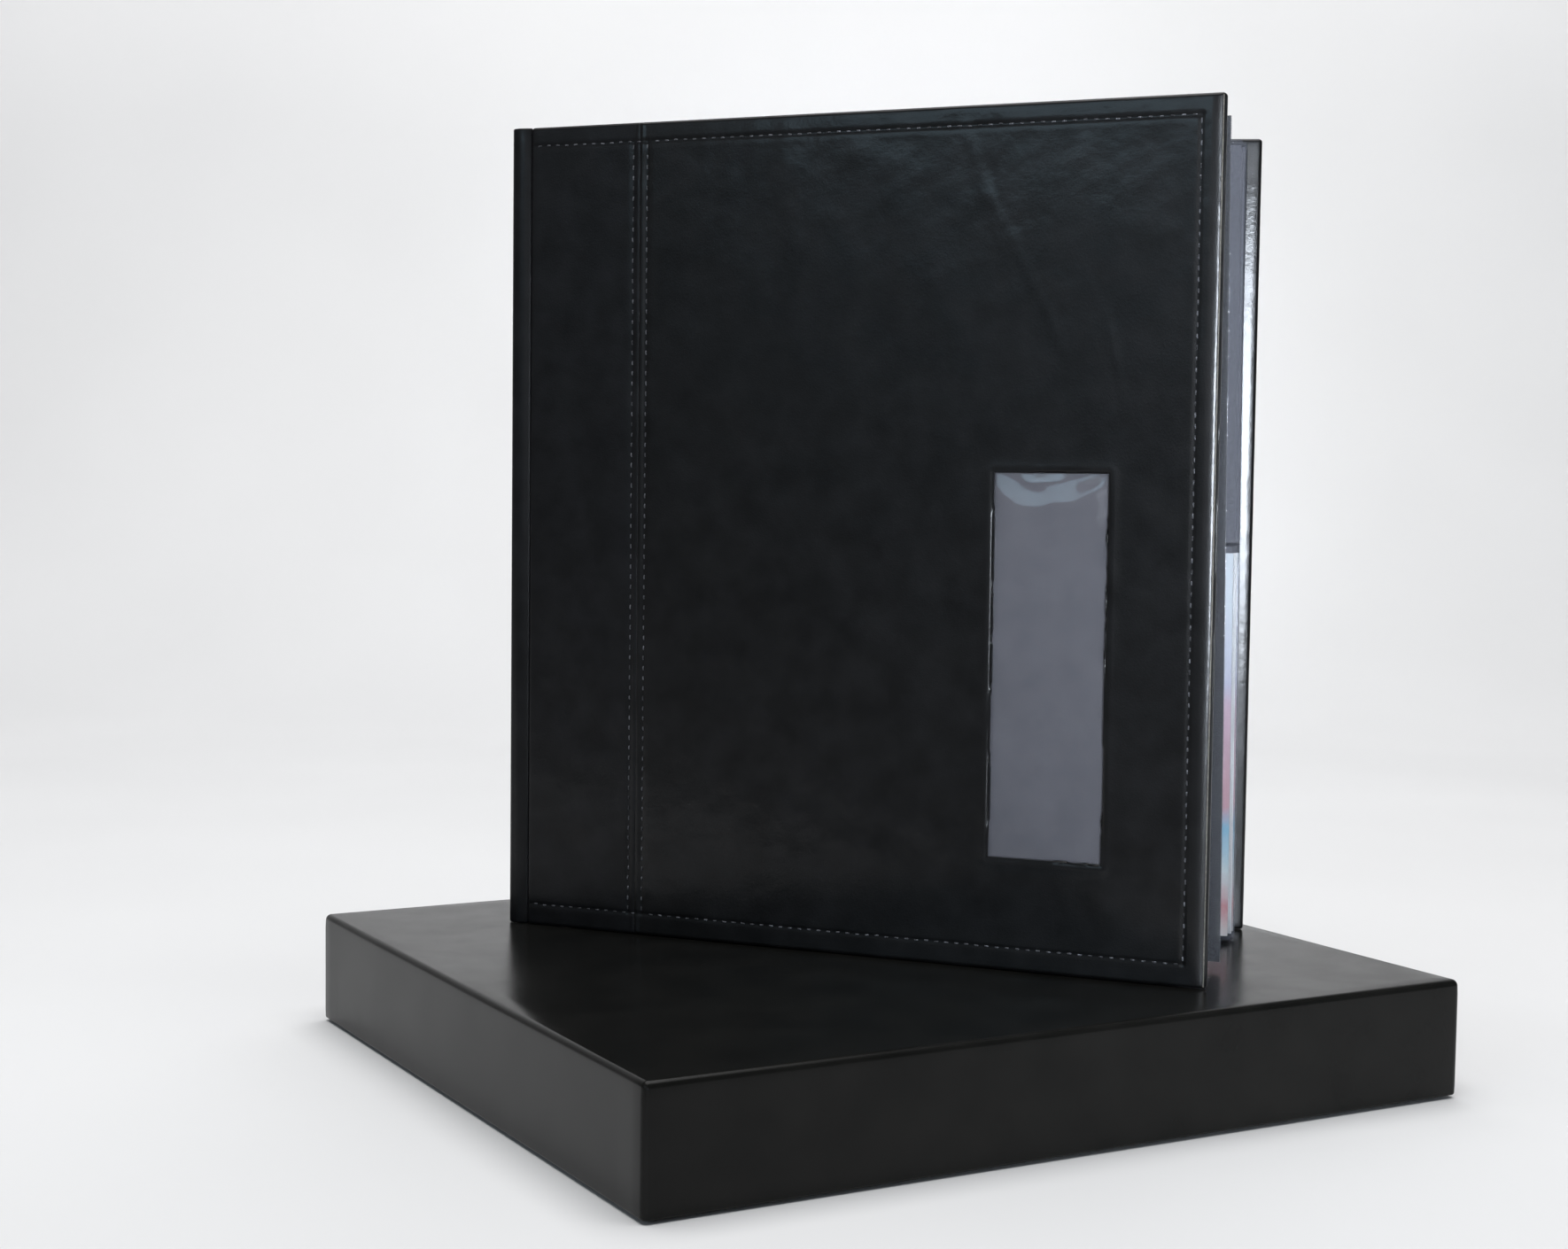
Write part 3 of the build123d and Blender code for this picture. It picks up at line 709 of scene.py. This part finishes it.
def cover_lines(side):
    """The mesh lines across and up a cover, closer at its edges, stitches, seam and window."""
    xs = [SEAM_X + s * SEAM_STITCH + d for s in (-1, 1) for d in SEAM_ROW_LINES]
    xs += [SEAM_X + d for d in SEAM_LINES]
    xs += [COVER_WIDTH - STITCH_EDGE + d for d in ROW_LINES]
    zs = [row + d for row in (STITCH_EDGE, HEIGHT - STITCH_TOP) for d in ROW_LINES]
    if side == "front":
        left, right, bottom, top = WINDOW
        xs += [left - d for d in WINDOW_LINES] + [right + d for d in WINDOW_LINES]
        zs += [bottom - d for d in WINDOW_LINES] + [top + d for d in WINDOW_LINES]
    return (
        grid_lines(COVER_START, cover_edge(side), 1.9, EDGE_LINES, EDGE_LINES, xs),
        grid_lines(0, HEIGHT, 1.9, EDGE_LINES, EDGE_LINES, zs),
    )


def roll_window(points, depth, distance):
    """Rolls the leather over the window's edge. Inside it, the face drops to the film."""
    rolled = np.clip(WINDOW_ROUND - np.maximum(distance, 0), 0, WINDOW_ROUND)
    rolled = WINDOW_ROUND - np.sqrt(np.maximum(WINDOW_ROUND ** 2 - rolled ** 2, 0))
    face = depth < 0.01
    points[:, 1] += np.where(face & (distance >= -0.001), rolled, 0)
    points[:, 1] = np.where(face & (distance < -0.001), WINDOW_DEPTH, points[:, 1])


def cover_mesh(side):
    """The whole leather surface of a cover, in (x, depth, z), open inside the turned-in edge."""
    xs, zs = cover_lines(side)
    points, quads = grid_box(xs, grid_lines(0, COVER, 1.3, EDGE_LINES, EDGE_LINES), zs)
    points = rounded(points, EDGE_ROUND)
    x, depth, z = points.T
    proud = cover_relief(side, x, z) * np.clip(1 - depth / EDGE_ROUND, 0, 1)
    inside = np.minimum(np.minimum(depth, COVER - depth), np.minimum(z, HEIGHT - z))
    sway = np.clip(inside / EDGE_ROUND, 0, 1) * np.clip((x - cover_edge(side)) / EDGE_ROUND + 1, 0, 1)
    points[:, 0] += 0.05 * waves(z, x, 30, 41) * sway
    points[:, 1] -= proud
    centre_x, centre_depth, centre_z = points[quads].mean(1).T
    under_lining = (centre_depth > COVER - 0.05) & (centre_x > COVER_START + TURN_IN)
    under_lining &= (centre_x < COVER_WIDTH - TURN_IN) & (centre_z > TURN_IN) & (centre_z < HEIGHT - TURN_IN)
    keep = ~under_lining
    if side == "front":
        roll_window(points, depth, window_distance(x, z))
        keep &= ~((window_distance(centre_x, centre_z) < -0.031) & (centre_depth < COVER / 2))
    return points, quads, keep


def to_side(side, points, quads):
    """From (x, depth, z) to the album's frame. The back cover's face is turned the other way."""
    points = np.array(points, float)
    if side == "back":
        points[:, 1] = THICKNESS - points[:, 1]
        quads = [quad[::-1] for quad in quads]
    return points, quads


def cover_leathers(side, place, body):
    """A cover's two leathers, which meet at the seam."""
    points, quads, keep = cover_mesh(side)
    at_seam = points[quads][:, :, 0].mean(1)
    strip, panel = at_seam < SEAM_X, at_seam > SEAM_X
    for part, chosen, look in (("strip", strip, SPINE_LOOK), ("panel", panel, PANEL_LOOK)):
        some_points, some_quads = kept(points, quads, keep & chosen)
        uv = some_points[:, (0, 2)]
        some_points, some_quads = to_side(side, some_points, some_quads)
        node = f"{side}_{part}_leather"
        piece = make_mesh(node + "_skin", some_points, some_quads, place, uv)
        thicken(piece, LEATHER)
        dress(piece, look, "album_leather", body, node)


def stitch_shape(length, width):
    """One stitch along x, standing up in z: a fat thread that dives into the leather at both ends."""
    rings, sides = 9, 8
    points, quads = [], []
    for i in range(rings):
        s = -1 + 2 * i / (rings - 1)
        swell = width / 2 * math.sqrt(max(0.04, 1 - abs(s) ** 5))
        height = 0.10 - 0.42 * abs(s) ** 3
        for j in range(sides):
            angle = 2 * math.pi * j / sides
            points.append((s * length / 2, swell * math.cos(angle), height + swell * 0.8 * math.sin(angle)))
    for start in range(0, (rings - 1) * sides, sides):
        for j, k in zip(range(sides), [*range(1, sides), 0]):
            quads.append((start + j, start + k, start + sides + k, start + sides + j))
    caps = [tuple(range(sides))[::-1], tuple((rings - 1) * sides + j for j in range(sides))]
    return np.array(points), quads, caps


def stitching(side, place, body):
    """Every stitch of a cover, each a short separate thread."""
    shape, quads, caps = stitch_shape(STITCH_LENGTH, THREAD_WIDTH)
    all_points, all_faces = [], []
    for row, (a, b) in enumerate(stitch_lines()):
        a, b = np.array(a), np.array(b)
        span = b - a
        length = np.hypot(*span)
        count = int(length // STITCH_PITCH)
        direction = span / length
        for n in range(count):
            centre = a + direction * (length - (count - 1) * STITCH_PITCH) / 2 + direction * n * STITCH_PITCH
            across_rows = row < 2 and abs(abs(centre[0] - SEAM_X) - SEAM_STITCH) < 1.2
            if across_rows:
                continue
            wander, stretch = rng.normal(0, 0.07), 1 + rng.normal(0, 0.05)
            lean = rng.normal(0, 0.05)
            along = shape[:, 0] * stretch
            aside = shape[:, 1] + wander + along * lean
            x = centre[0] + along * direction[0] - aside * direction[1]
            z = centre[1] + along * direction[1] + aside * direction[0]
            depth = 0.06 - shape[:, 2]
            start = len(all_points) * len(shape)
            all_points.append(np.stack([x, depth, z], 1))
            all_faces += [tuple(i + start for i in f) for f in quads + caps]
    points, faces = to_side(side, np.concatenate(all_points), all_faces)
    piece = make_mesh(f"{side}_stitching_threads", points, faces, place)
    return dress(piece, THREAD_LOOK, "thread", body, f"{side}_stitching")


def cover_lining(side, place, body):
    """The cloth inside a cover, with the turned-in leather's edge showing through as a soft step."""
    near = (0.0, 0.12, 0.3)
    step = TURN_IN - LINING_INSET
    ridge = [step + d for d in (-1.5, -0.7, 0.0, 0.7, 1.5)]
    left, right = COVER_START + LINING_INSET, COVER_WIDTH - LINING_INSET
    bottom, top = LINING_INSET, HEIGHT - LINING_INSET
    xs = grid_lines(left, right, 5.0, near, near, [left + r for r in ridge] + [right - r for r in ridge])
    zs = grid_lines(bottom, top, 5.0, near, near, [bottom + r for r in ridge] + [top - r for r in ridge])
    ys = grid_lines(COVER - 0.45, COVER + 0.08, 0.3, (0.0, 0.12), (0.0, 0.12))
    points, quads = grid_box(xs, ys, zs)
    points = rounded(points, 0.12)
    x, depth, z = points.T
    inside = np.minimum(np.minimum(x - left, right - x), np.minimum(z - bottom, top - z))
    sunk = 0.10 / (1 + np.exp(-(inside - step) / 0.5)) + 0.03 * waves(x, z, 60, 61)
    points[:, 1] -= np.where(depth > COVER - 0.2, sunk, 0)
    uv = points[:, (0, 2)]
    points, quads = to_side(side, points, quads)
    piece = make_mesh(f"{side}_lining_cloth", points, quads, place, uv)
    return dress(piece, CLOTH_LOOK, "cover_lining", body, f"{side}_lining")


# ------------------------ label window
def window_sheet(depth, thickness):
    """A flat sheet behind the window, and how free of the frame each of its points is, from 0 to 1."""
    left, right, bottom, top = WINDOW
    near = (0.0, 0.1)
    xs = grid_lines(left - LABEL_LAP, right + LABEL_LAP, 1.2, near, near)
    zs = grid_lines(bottom - LABEL_LAP, top + LABEL_LAP, 1.2, near, near)
    points, quads = grid_box(xs, np.array([depth, depth + thickness / 2, depth + thickness]), zs)
    points = rounded(points, thickness * 0.3)
    free = np.clip(-window_distance(points[:, 0], points[:, 2]) / 6, 0, 1)
    return points, quads, free * free * (3 - 2 * free)


def window_film():
    """The clear film, slack at its top."""
    points, quads, free = window_sheet(2.14, 0.12)
    x, _, z = points.T
    slack = np.clip((z - (WINDOW[3] - 42)) / 22, 0, 1)
    bulge = 0.12 * waves(x, z, 30, 71) * slack + 0.03 * waves(x, z, 60, 72)
    points[:, 1] -= free * (bulge + 0.3 * slack)
    piece = make_mesh("window_film_sheet", points, quads, FRONT, points[:, (0, 2)])
    dress(piece, WINDOW_LOOK, "clear_film", "front_cover", "window_film")


def label_card():
    """The card behind the film, a little cockled."""
    points, quads, free = window_sheet(2.40, 0.26)
    x, _, z = points.T
    points[:, 1] += free * 0.03 * waves(x * 0.4, z, 34, 75)
    piece = make_mesh("label_card_sheet", points, quads, FRONT, points[:, (0, 2)])
    dress(piece, LABEL_LOOK, "label_card", "front_cover", "label_card")


# ------------------------ spine
def swept_skin(profile, wrap):
    """A skin swept up the album along a section of (x, y) points, rolled over at its head and tail."""
    profile = np.array(profile, float)
    tangent = np.gradient(profile, axis=0)
    tangent /= np.linalg.norm(tangent, axis=1, keepdims=True)
    inward = np.stack([tangent[:, 1], -tangent[:, 0]], 1)
    r = wrap / 2
    roll = [(r - r * math.cos(a), r - r * math.sin(a)) for a in np.linspace(math.pi, 0, 9)]
    inside = [(wrap, 14.0), (wrap, 8.0)]
    middle = [(0.0, z) for z in np.linspace(r, HEIGHT - r, 60)[1:-1]]
    # The head has two rings in the same place, where its roll starts.
    head = [(off, HEIGHT - z) for off, z in reversed(inside + roll[:1] + roll)]
    path = inside + roll + middle + head
    count = len(profile)
    points = [(x + nx * off, y + ny * off, z) for off, z in path for (x, y), (nx, ny) in zip(profile, inward)]
    uv = [(x + y, z) for _, z in path for x, y in profile]
    starts = [r * count + c for r in range(len(path) - 1) for c in range(count - 1)]
    quads = [(a, a + count, a + count + 1, a + 1) for a in starts]
    return np.array(points), quads, np.array(uv)


def spine_section():
    """Across the flat of the spine, which swells a little in its middle."""
    r = SPINE_ROUND
    return [(-0.25 * math.sin(math.pi * t), r + t * (THICKNESS - 2 * r)) for t in np.linspace(0, 1, 24)]


def joint_section():
    """Round the spine's corner, along its bead and down into the groove beside the cover."""
    r = SPINE_ROUND
    corner = [(r - r * math.cos(a), r - r * math.sin(a)) for a in np.linspace(0, math.pi / 2, 8)]
    bead = [(3.0, -0.10), (3.5, -0.17), (4.0, -0.20), (4.6, -0.18), (5.2, -0.11), (5.8, 0.00), (6.4, 0.14),
            (7.0, 0.31), (7.6, 0.51), (8.1, 0.70), (8.5, 0.88), (8.8, 1.12), (9.0, 1.5)]
    return corner + bead


def spine_skin():
    """The leather over the flat of the spine."""
    points, quads, uv = swept_skin(spine_section(), 2.2)
    piece = make_mesh("spine_leather_skin", points, quads, FRONT, uv)
    recalculate(piece)
    thicken(piece, 0.6)
    dress(piece, SPINE_LOOK, "album_leather", "album_spine", "spine_leather")


def joint_skin(side):
    """The leather across the joint between the spine and a cover."""
    section, pivot_y = joint_section()[::-1], JOINT_DEPTH
    if side == "back":
        section = [(x, THICKNESS - y) for x, y in section[::-1]]
        pivot_y = THICKNESS - JOINT_DEPTH
    points, quads, uv = swept_skin(section, 1.3)
    piece = make_mesh(f"{side}_joint_skin", points, quads, FRONT, uv)
    recalculate(piece)
    thicken(piece, 0.5)
    dress(piece, SPINE_LOOK, "album_leather", None, f"{side}_joint_leather")
    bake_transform(piece)


# ------------------------ leaves
def sleeve_shape(x, z):
    """How far a sleeve's two films stand apart, from 0 at a weld to 1 over a pocket."""
    weld = np.minimum(np.abs(x - sum(POCKET_MIDDLE) / 2), np.abs(z - HEIGHT / 2))
    weld = np.minimum(weld, np.minimum(z - LEAF_BOTTOM, LEAF_TOP - z))
    weld = np.minimum(weld, x - LEAF_LEFT)
    return np.clip(weld / WELD_LINES[-1], 0, 1) ** 0.6


def hung(points, drop, top_shift, bottom_shift):
    """A leaf hangs slack: its fore-edge drops a little and leans."""
    along = (points[:, 0] - LEAF_LEFT) / (LEAF_RIGHT - LEAF_LEFT)
    down = (LEAF_TOP - points[:, 2]) / (LEAF_TOP - LEAF_BOTTOM)
    points = points.copy()
    points[:, 0] += along * (top_shift + (bottom_shift - top_shift) * down)
    points[:, 2] -= along * drop
    return points


def sheets(name, y, place, uv_from_corner, *boxes):
    """Flat sheets, each given as (x0, x1, y0, y1, z0, z1), in one hanging mesh."""
    all_points, all_quads, all_uv = [], [], []
    for x0, x1, y0, y1, z0, z1 in boxes:
        xs, zs = grid_lines(x0, x1, 14), grid_lines(z0, z1, 14)
        points, quads = grid_box(xs, np.array([y0, y1]), zs)
        all_uv.append(points[:, (0, 2)] - ((x0, z0) if uv_from_corner else (0, 0)))
        points = hung(points, LEAF_DROP, *LEAF_LEAN)
        points[:, 1] += y
        all_quads.append(quads + sum(map(len, all_points)))
        all_points.append(points)
    points, quads, uv = map(np.concatenate, (all_points, all_quads, all_uv))
    return sharpen(make_mesh(name, points, quads, place, uv), 40)


def sleeve_right(number):
    """How far out a leaf's sleeve reaches."""
    return min(LEAF_RIGHT, PRINT_RIGHT[number - 1] + SLEEVE_PAST_PRINT)


def leaf_sleeve(number, y, place, body):
    """A clear four-pocket sleeve, welded between its pockets and open at its fore-edge."""
    right = sleeve_right(number)
    beside = [-d for d in WELD_LINES[:0:-1]] + list(WELD_LINES)
    middle_x, middle_z = sum(POCKET_MIDDLE) / 2, HEIGHT / 2
    xs = grid_lines(LEAF_LEFT, right, 9, WELD_LINES, (), [middle_x + d for d in beside])
    zs = grid_lines(LEAF_BOTTOM, LEAF_TOP, 9, WELD_LINES, WELD_LINES, [middle_z + d for d in beside])
    half = LEAF / 2
    points, quads = grid_box(xs, np.array([-half, half]), zs)
    x, face, z = points.T
    apart = WELD_GAP + (half - WELD_GAP) * sleeve_shape(x, z)
    lean = 0.05 * waves(x, z, 90, 80 + number)
    closed = points[quads].mean(1)[:, 0] < right - 0.01
    points[:, 1] = y + np.sign(face) * apart + lean * (apart > 0.3)
    points, quads = kept(points, quads, closed)
    points = hung(points, LEAF_DROP, *LEAF_LEAN)
    piece = make_mesh(f"leaf_{number}_film", points, quads, place, points[:, (0, 2)])
    thicken(piece, FILM)
    return dress(piece, SLEEVE_LOOK, "clear_film", body, f"leaf_{number}_sleeve")


def leaf_prints(number, y, place, body):
    """The prints in the two lower pockets, back to back on each card."""
    near, far, top = CARD / 2, CARD / 2 + PRINT, PRINT_BOTTOM + PRINT_HEIGHT
    columns = (LEAF_LEFT + PRINT_FROM_CREASE, PRINT_RIGHT[number - 1] - PRINT_WIDTH)
    boxes = [
        (x0, x0 + PRINT_WIDTH, y0, y1, PRINT_BOTTOM, top)
        for x0 in columns for y0, y1 in ((-far, -near), (near, far))
    ]
    piece = sheets(f"leaf_{number}_photos", y, place, True, *boxes)
    look = PRINT_LOOKS[(number + 1) % len(PRINT_LOOKS)]
    return dress(piece, look, "photo_print", body, f"leaf_{number}_prints")


def leaf_cards(number, y, place, body):
    """A grey card in each pocket."""
    left, right = LEAF_LEFT + CARD_FROM_CREASE, sleeve_right(number) - CARD_FROM_EDGE
    columns = ((left, POCKET_MIDDLE[0]), (POCKET_MIDDLE[1], right))
    boxes = [[x0, x1, -CARD / 2, CARD / 2, z0, z1] for z0, z1 in CARD_ROWS for x0, x1 in columns]
    boxes[1][1] = PRINT_RIGHT[number - 1] - CARD_BEHIND_PRINT
    piece = sheets(f"leaf_{number}_card_sheets", y, place, False, *boxes)
    return dress(piece, CARD_LOOK, "pocket_card", body, f"leaf_{number}_cards")


def flyleaf_slab(half, right):
    """The flyleaf's flat shape, half as thick each side, with the wave that its free part takes."""
    near = (0.0, 0.08, 0.2)
    xs = grid_lines(LEAF_LEFT, right, 8, near, near)
    zs = grid_lines(LEAF_BOTTOM, LEAF_TOP, 8, near, near)
    points, quads = grid_box(xs, np.array([-half, 0.0, half]), zs)
    points = rounded(points, half * 0.5)
    x, _, z = points.T
    points[:, 1] += FLYLEAF_Y + np.clip((x - LEAF_LEFT) / 60, 0, 1) * 0.35 * waves(x, z, 190, 91)
    return points, quads


def flyleaf_sheet(place):
    """The embossed sheet."""
    points, quads = flyleaf_slab(0.28, FLYLEAF_RIGHT - 0.35)
    hanging = hung(points, 0, *FLYLEAF_LEAN)
    piece = make_mesh("flyleaf_sheet_embossed", hanging, quads, place, points[:, (0, 2)])
    dress(piece, FLYLEAF_LOOK, "flyleaf_sheet", "flyleaf", "flyleaf_sheet")


def flyleaf_sleeve(place):
    """The clear sleeve folded round the sheet's fore-edge, open at its other three."""
    points, quads = flyleaf_slab(0.45, FLYLEAF_RIGHT)
    x, _, z = points[quads].mean(1).T
    shut = (z <= LEAF_TOP - 0.01) & (z >= LEAF_BOTTOM + 0.01) & (x >= LEAF_LEFT + 0.01)
    points, quads = kept(points, quads, shut)
    points = hung(points, 0, *FLYLEAF_LEAN)
    piece = make_mesh("flyleaf_sleeve_film", points, quads, place, points[:, (0, 2)])
    thicken(piece, FILM)
    dress(piece, SLEEVE_LOOK, "clear_film", "flyleaf", "flyleaf_sleeve")


def leaves():
    """The five pocket leaves, then the flyleaf."""
    for number, y in enumerate(LEAF_YS, start=1):
        place, body = leaf_place(f"leaf_{number}_turn", y), f"leaf_{number}"
        leaf_sleeve(number, y, place, body)
        leaf_cards(number, y, place, body)
        leaf_prints(number, y, place, body)
    place = leaf_place("flyleaf_turn", FLYLEAF_Y)
    flyleaf_sheet(place)
    flyleaf_sleeve(place)


# ------------------------ CAD nodes that stay
def paint(look, *names):
    """Gives CAD nodes a material."""
    for name in names:
        mesh = frame["nodes"][name].data
        mesh.materials.clear()
        mesh.materials.append(look)


def carried_over():
    """The boards, linings, tape and metalwork, which stay as they are drawn in the CAD."""
    for half in ("tray", "lid"):
        paint(BOARD_LOOK, *[f"{half}_wall_{side}" for side in ("front", "back", "left", "right")])
        paint(LINING_LOOK, f"{half}_lining")
        paint(TAPE_LOOK, f"{half}_corner_stays")
    paint(BOARD_LOOK, "tray_base_board", "lid_top_board", "front_window_board", "front_backing_board")
    paint(BOARD_LOOK, "back_board", "spine_board")
    paint(CLOTH_LOOK, "spine_lining")
    paint(CHROME_LOOK, "ring_plate", "ring_posts", "ring_arches")
    paint(RIVET_LOOK, "ring_rivets")
    paint(BLADE_LOOK, "ring_blade")
    paint(STRIP_LOOK, "binding_strips")


# ------------------------ stage, lights and camera, in metres
STUDIO_TURN = -29.1  # degrees
FLOOR_FRONT, FLOOR_SPLIT, FLOOR_BACK = -5.0, -0.42, 1.1
FLOOR_HALF_WIDTH = 4.0
SWEEP, WALL_TOP = 0.6, 3.2
VIEWER = (-0.4766, -0.7922, 0.2289)
YAW, PITCH, ROLL = -29.071, 3.648, 0.693  # degrees, pitched down
LENS, SENSOR = 54.67, 36.0  # millimetres


def studio():
    """A pale floor that curves up into a wall, and its near part, which glossy surfaces don't show."""
    look = Finish("studio", (0.80, 0.80, 0.805), 0.9, specular=0.1)
    look.colour(look.noise(3, 2), (0.79, 0.79, 0.795), (0.82, 0.82, 0.825), 0.3, 0.7)
    bends = np.linspace(0, math.pi / 2, 12)[1:]
    section = [(FLOOR_SPLIT, 0.0), (FLOOR_BACK, 0.0)]
    section += [(FLOOR_BACK + SWEEP * math.sin(a), SWEEP - SWEEP * math.cos(a)) for a in bends]
    section += [(FLOOR_BACK + SWEEP, WALL_TOP)]
    near_floor = [(FLOOR_FRONT, 0.0), (FLOOR_SPLIT, 0.0)]
    turn = Matrix.Rotation(math.radians(STUDIO_TURN), 4, "Z")
    for name, line in (("studio_floor", section), ("studio_near_floor", near_floor)):
        points = [turn @ Vector((x, y, z)) for y, z in line for x in (-FLOOR_HALF_WIDTH, FLOOR_HALF_WIDTH)]
        quads = [(2 * i, 2 * i + 1, 2 * i + 3, 2 * i + 2) for i in range(len(line) - 1)]
        floor = make_mesh(name, points, quads)
        floor.data.materials.append(look.material)
        floor.visible_glossy = name == "studio_floor"


def area_light(name, place, towards, size, power, colour=(1, 1, 1), spread=180.0):
    """A rectangular lamp. A spread under 180 degrees narrows its beam and makes the same power brighter."""
    data = bpy.data.lights.new(name, "AREA")
    data.spread = math.radians(spread)
    data.shape = "RECTANGLE"
    data.size, data.size_y = size
    data.energy = power
    data.color = colour
    lamp = bpy.data.objects.new(name, data)
    bpy.context.scene.collection.objects.link(lamp)
    lamp.location = place
    lamp.rotation_mode = "QUATERNION"
    lamp.rotation_quaternion = (Vector(towards) - Vector(place)).to_track_quat("-Z", "Y")


def room():
    """Dim, slightly cool light from all round."""
    world = bpy.data.worlds.new("room")
    world.use_nodes = True
    background = world.node_tree.nodes["Background"]
    background.inputs["Color"].default_value = (0.93, 0.96, 1.0, 1)
    background.inputs["Strength"].default_value = 0.10
    bpy.context.scene.world = world


def lights():
    """Soft light from above and behind, and low lamps whose reflections lie on the leather and the film."""
    area_light("overhead", (-0.12, -0.22, 2.6), (-0.12, -0.22, 0), (2.6, 2.6), 78)
    area_light("wall_wash", (0.12, 0.28, 1.3), (0.80, 1.50, 1.0), (2.4, 0.4), 4.5, (1, 1, 1), 100)
    area_light("key", (-0.81, -1.91, 0.27), (0.12, -0.08, 0.24), (0.16, 0.50), 0.46, (0.82, 0.90, 1.0), 16)
    area_light("fill", (-1.55, -1.40, 0.45), (-0.10, 0.10, 0.20), (0.8, 0.7), 1.5, (0.88, 0.93, 1.0))
    area_light("glare", (-2.2, -0.95, 0.85), (0.03, -0.08, 0.2), (0.8, 0.30), 0.34, (0.55, 0.82, 1.0), 60)
    area_light("upper_glow", (-2.3, -0.70, 1.0), (0, 0, 0.3), (2.0, 0.7), 1.6, (0.92, 0.95, 1.0))


def camera():
    """The viewpoint: off the box's near corner, level with the upper half of the album."""
    data = bpy.data.cameras.new("camera")
    data.lens, data.sensor_width = LENS, SENSOR
    data.clip_start, data.clip_end = 0.02, 20
    viewer = bpy.data.objects.new("camera", data)
    bpy.context.scene.collection.objects.link(viewer)
    viewer.matrix_world = Matrix.Translation(VIEWER)
    for degrees, axis in ((YAW, "Z"), (90 - PITCH, "X"), (ROLL, "Z")):
        viewer.matrix_world @= Matrix.Rotation(math.radians(degrees), 4, axis)
    bpy.context.scene.camera = viewer


# ------------------------ building
box_pieces()
for cover_side, cover_place in (("front", FRONT), ("back", BACK)):
    cover_leathers(cover_side, cover_place, f"{cover_side}_cover")
    stitching(cover_side, cover_place, f"{cover_side}_cover")
    cover_lining(cover_side, cover_place, f"{cover_side}_cover")
window_film()
label_card()
spine_skin()
joint_skin("front")
joint_skin("back")
leaves()
carried_over()
studio()
room()
lights()
camera()
bpy.context.scene.view_settings.view_transform = "Standard"
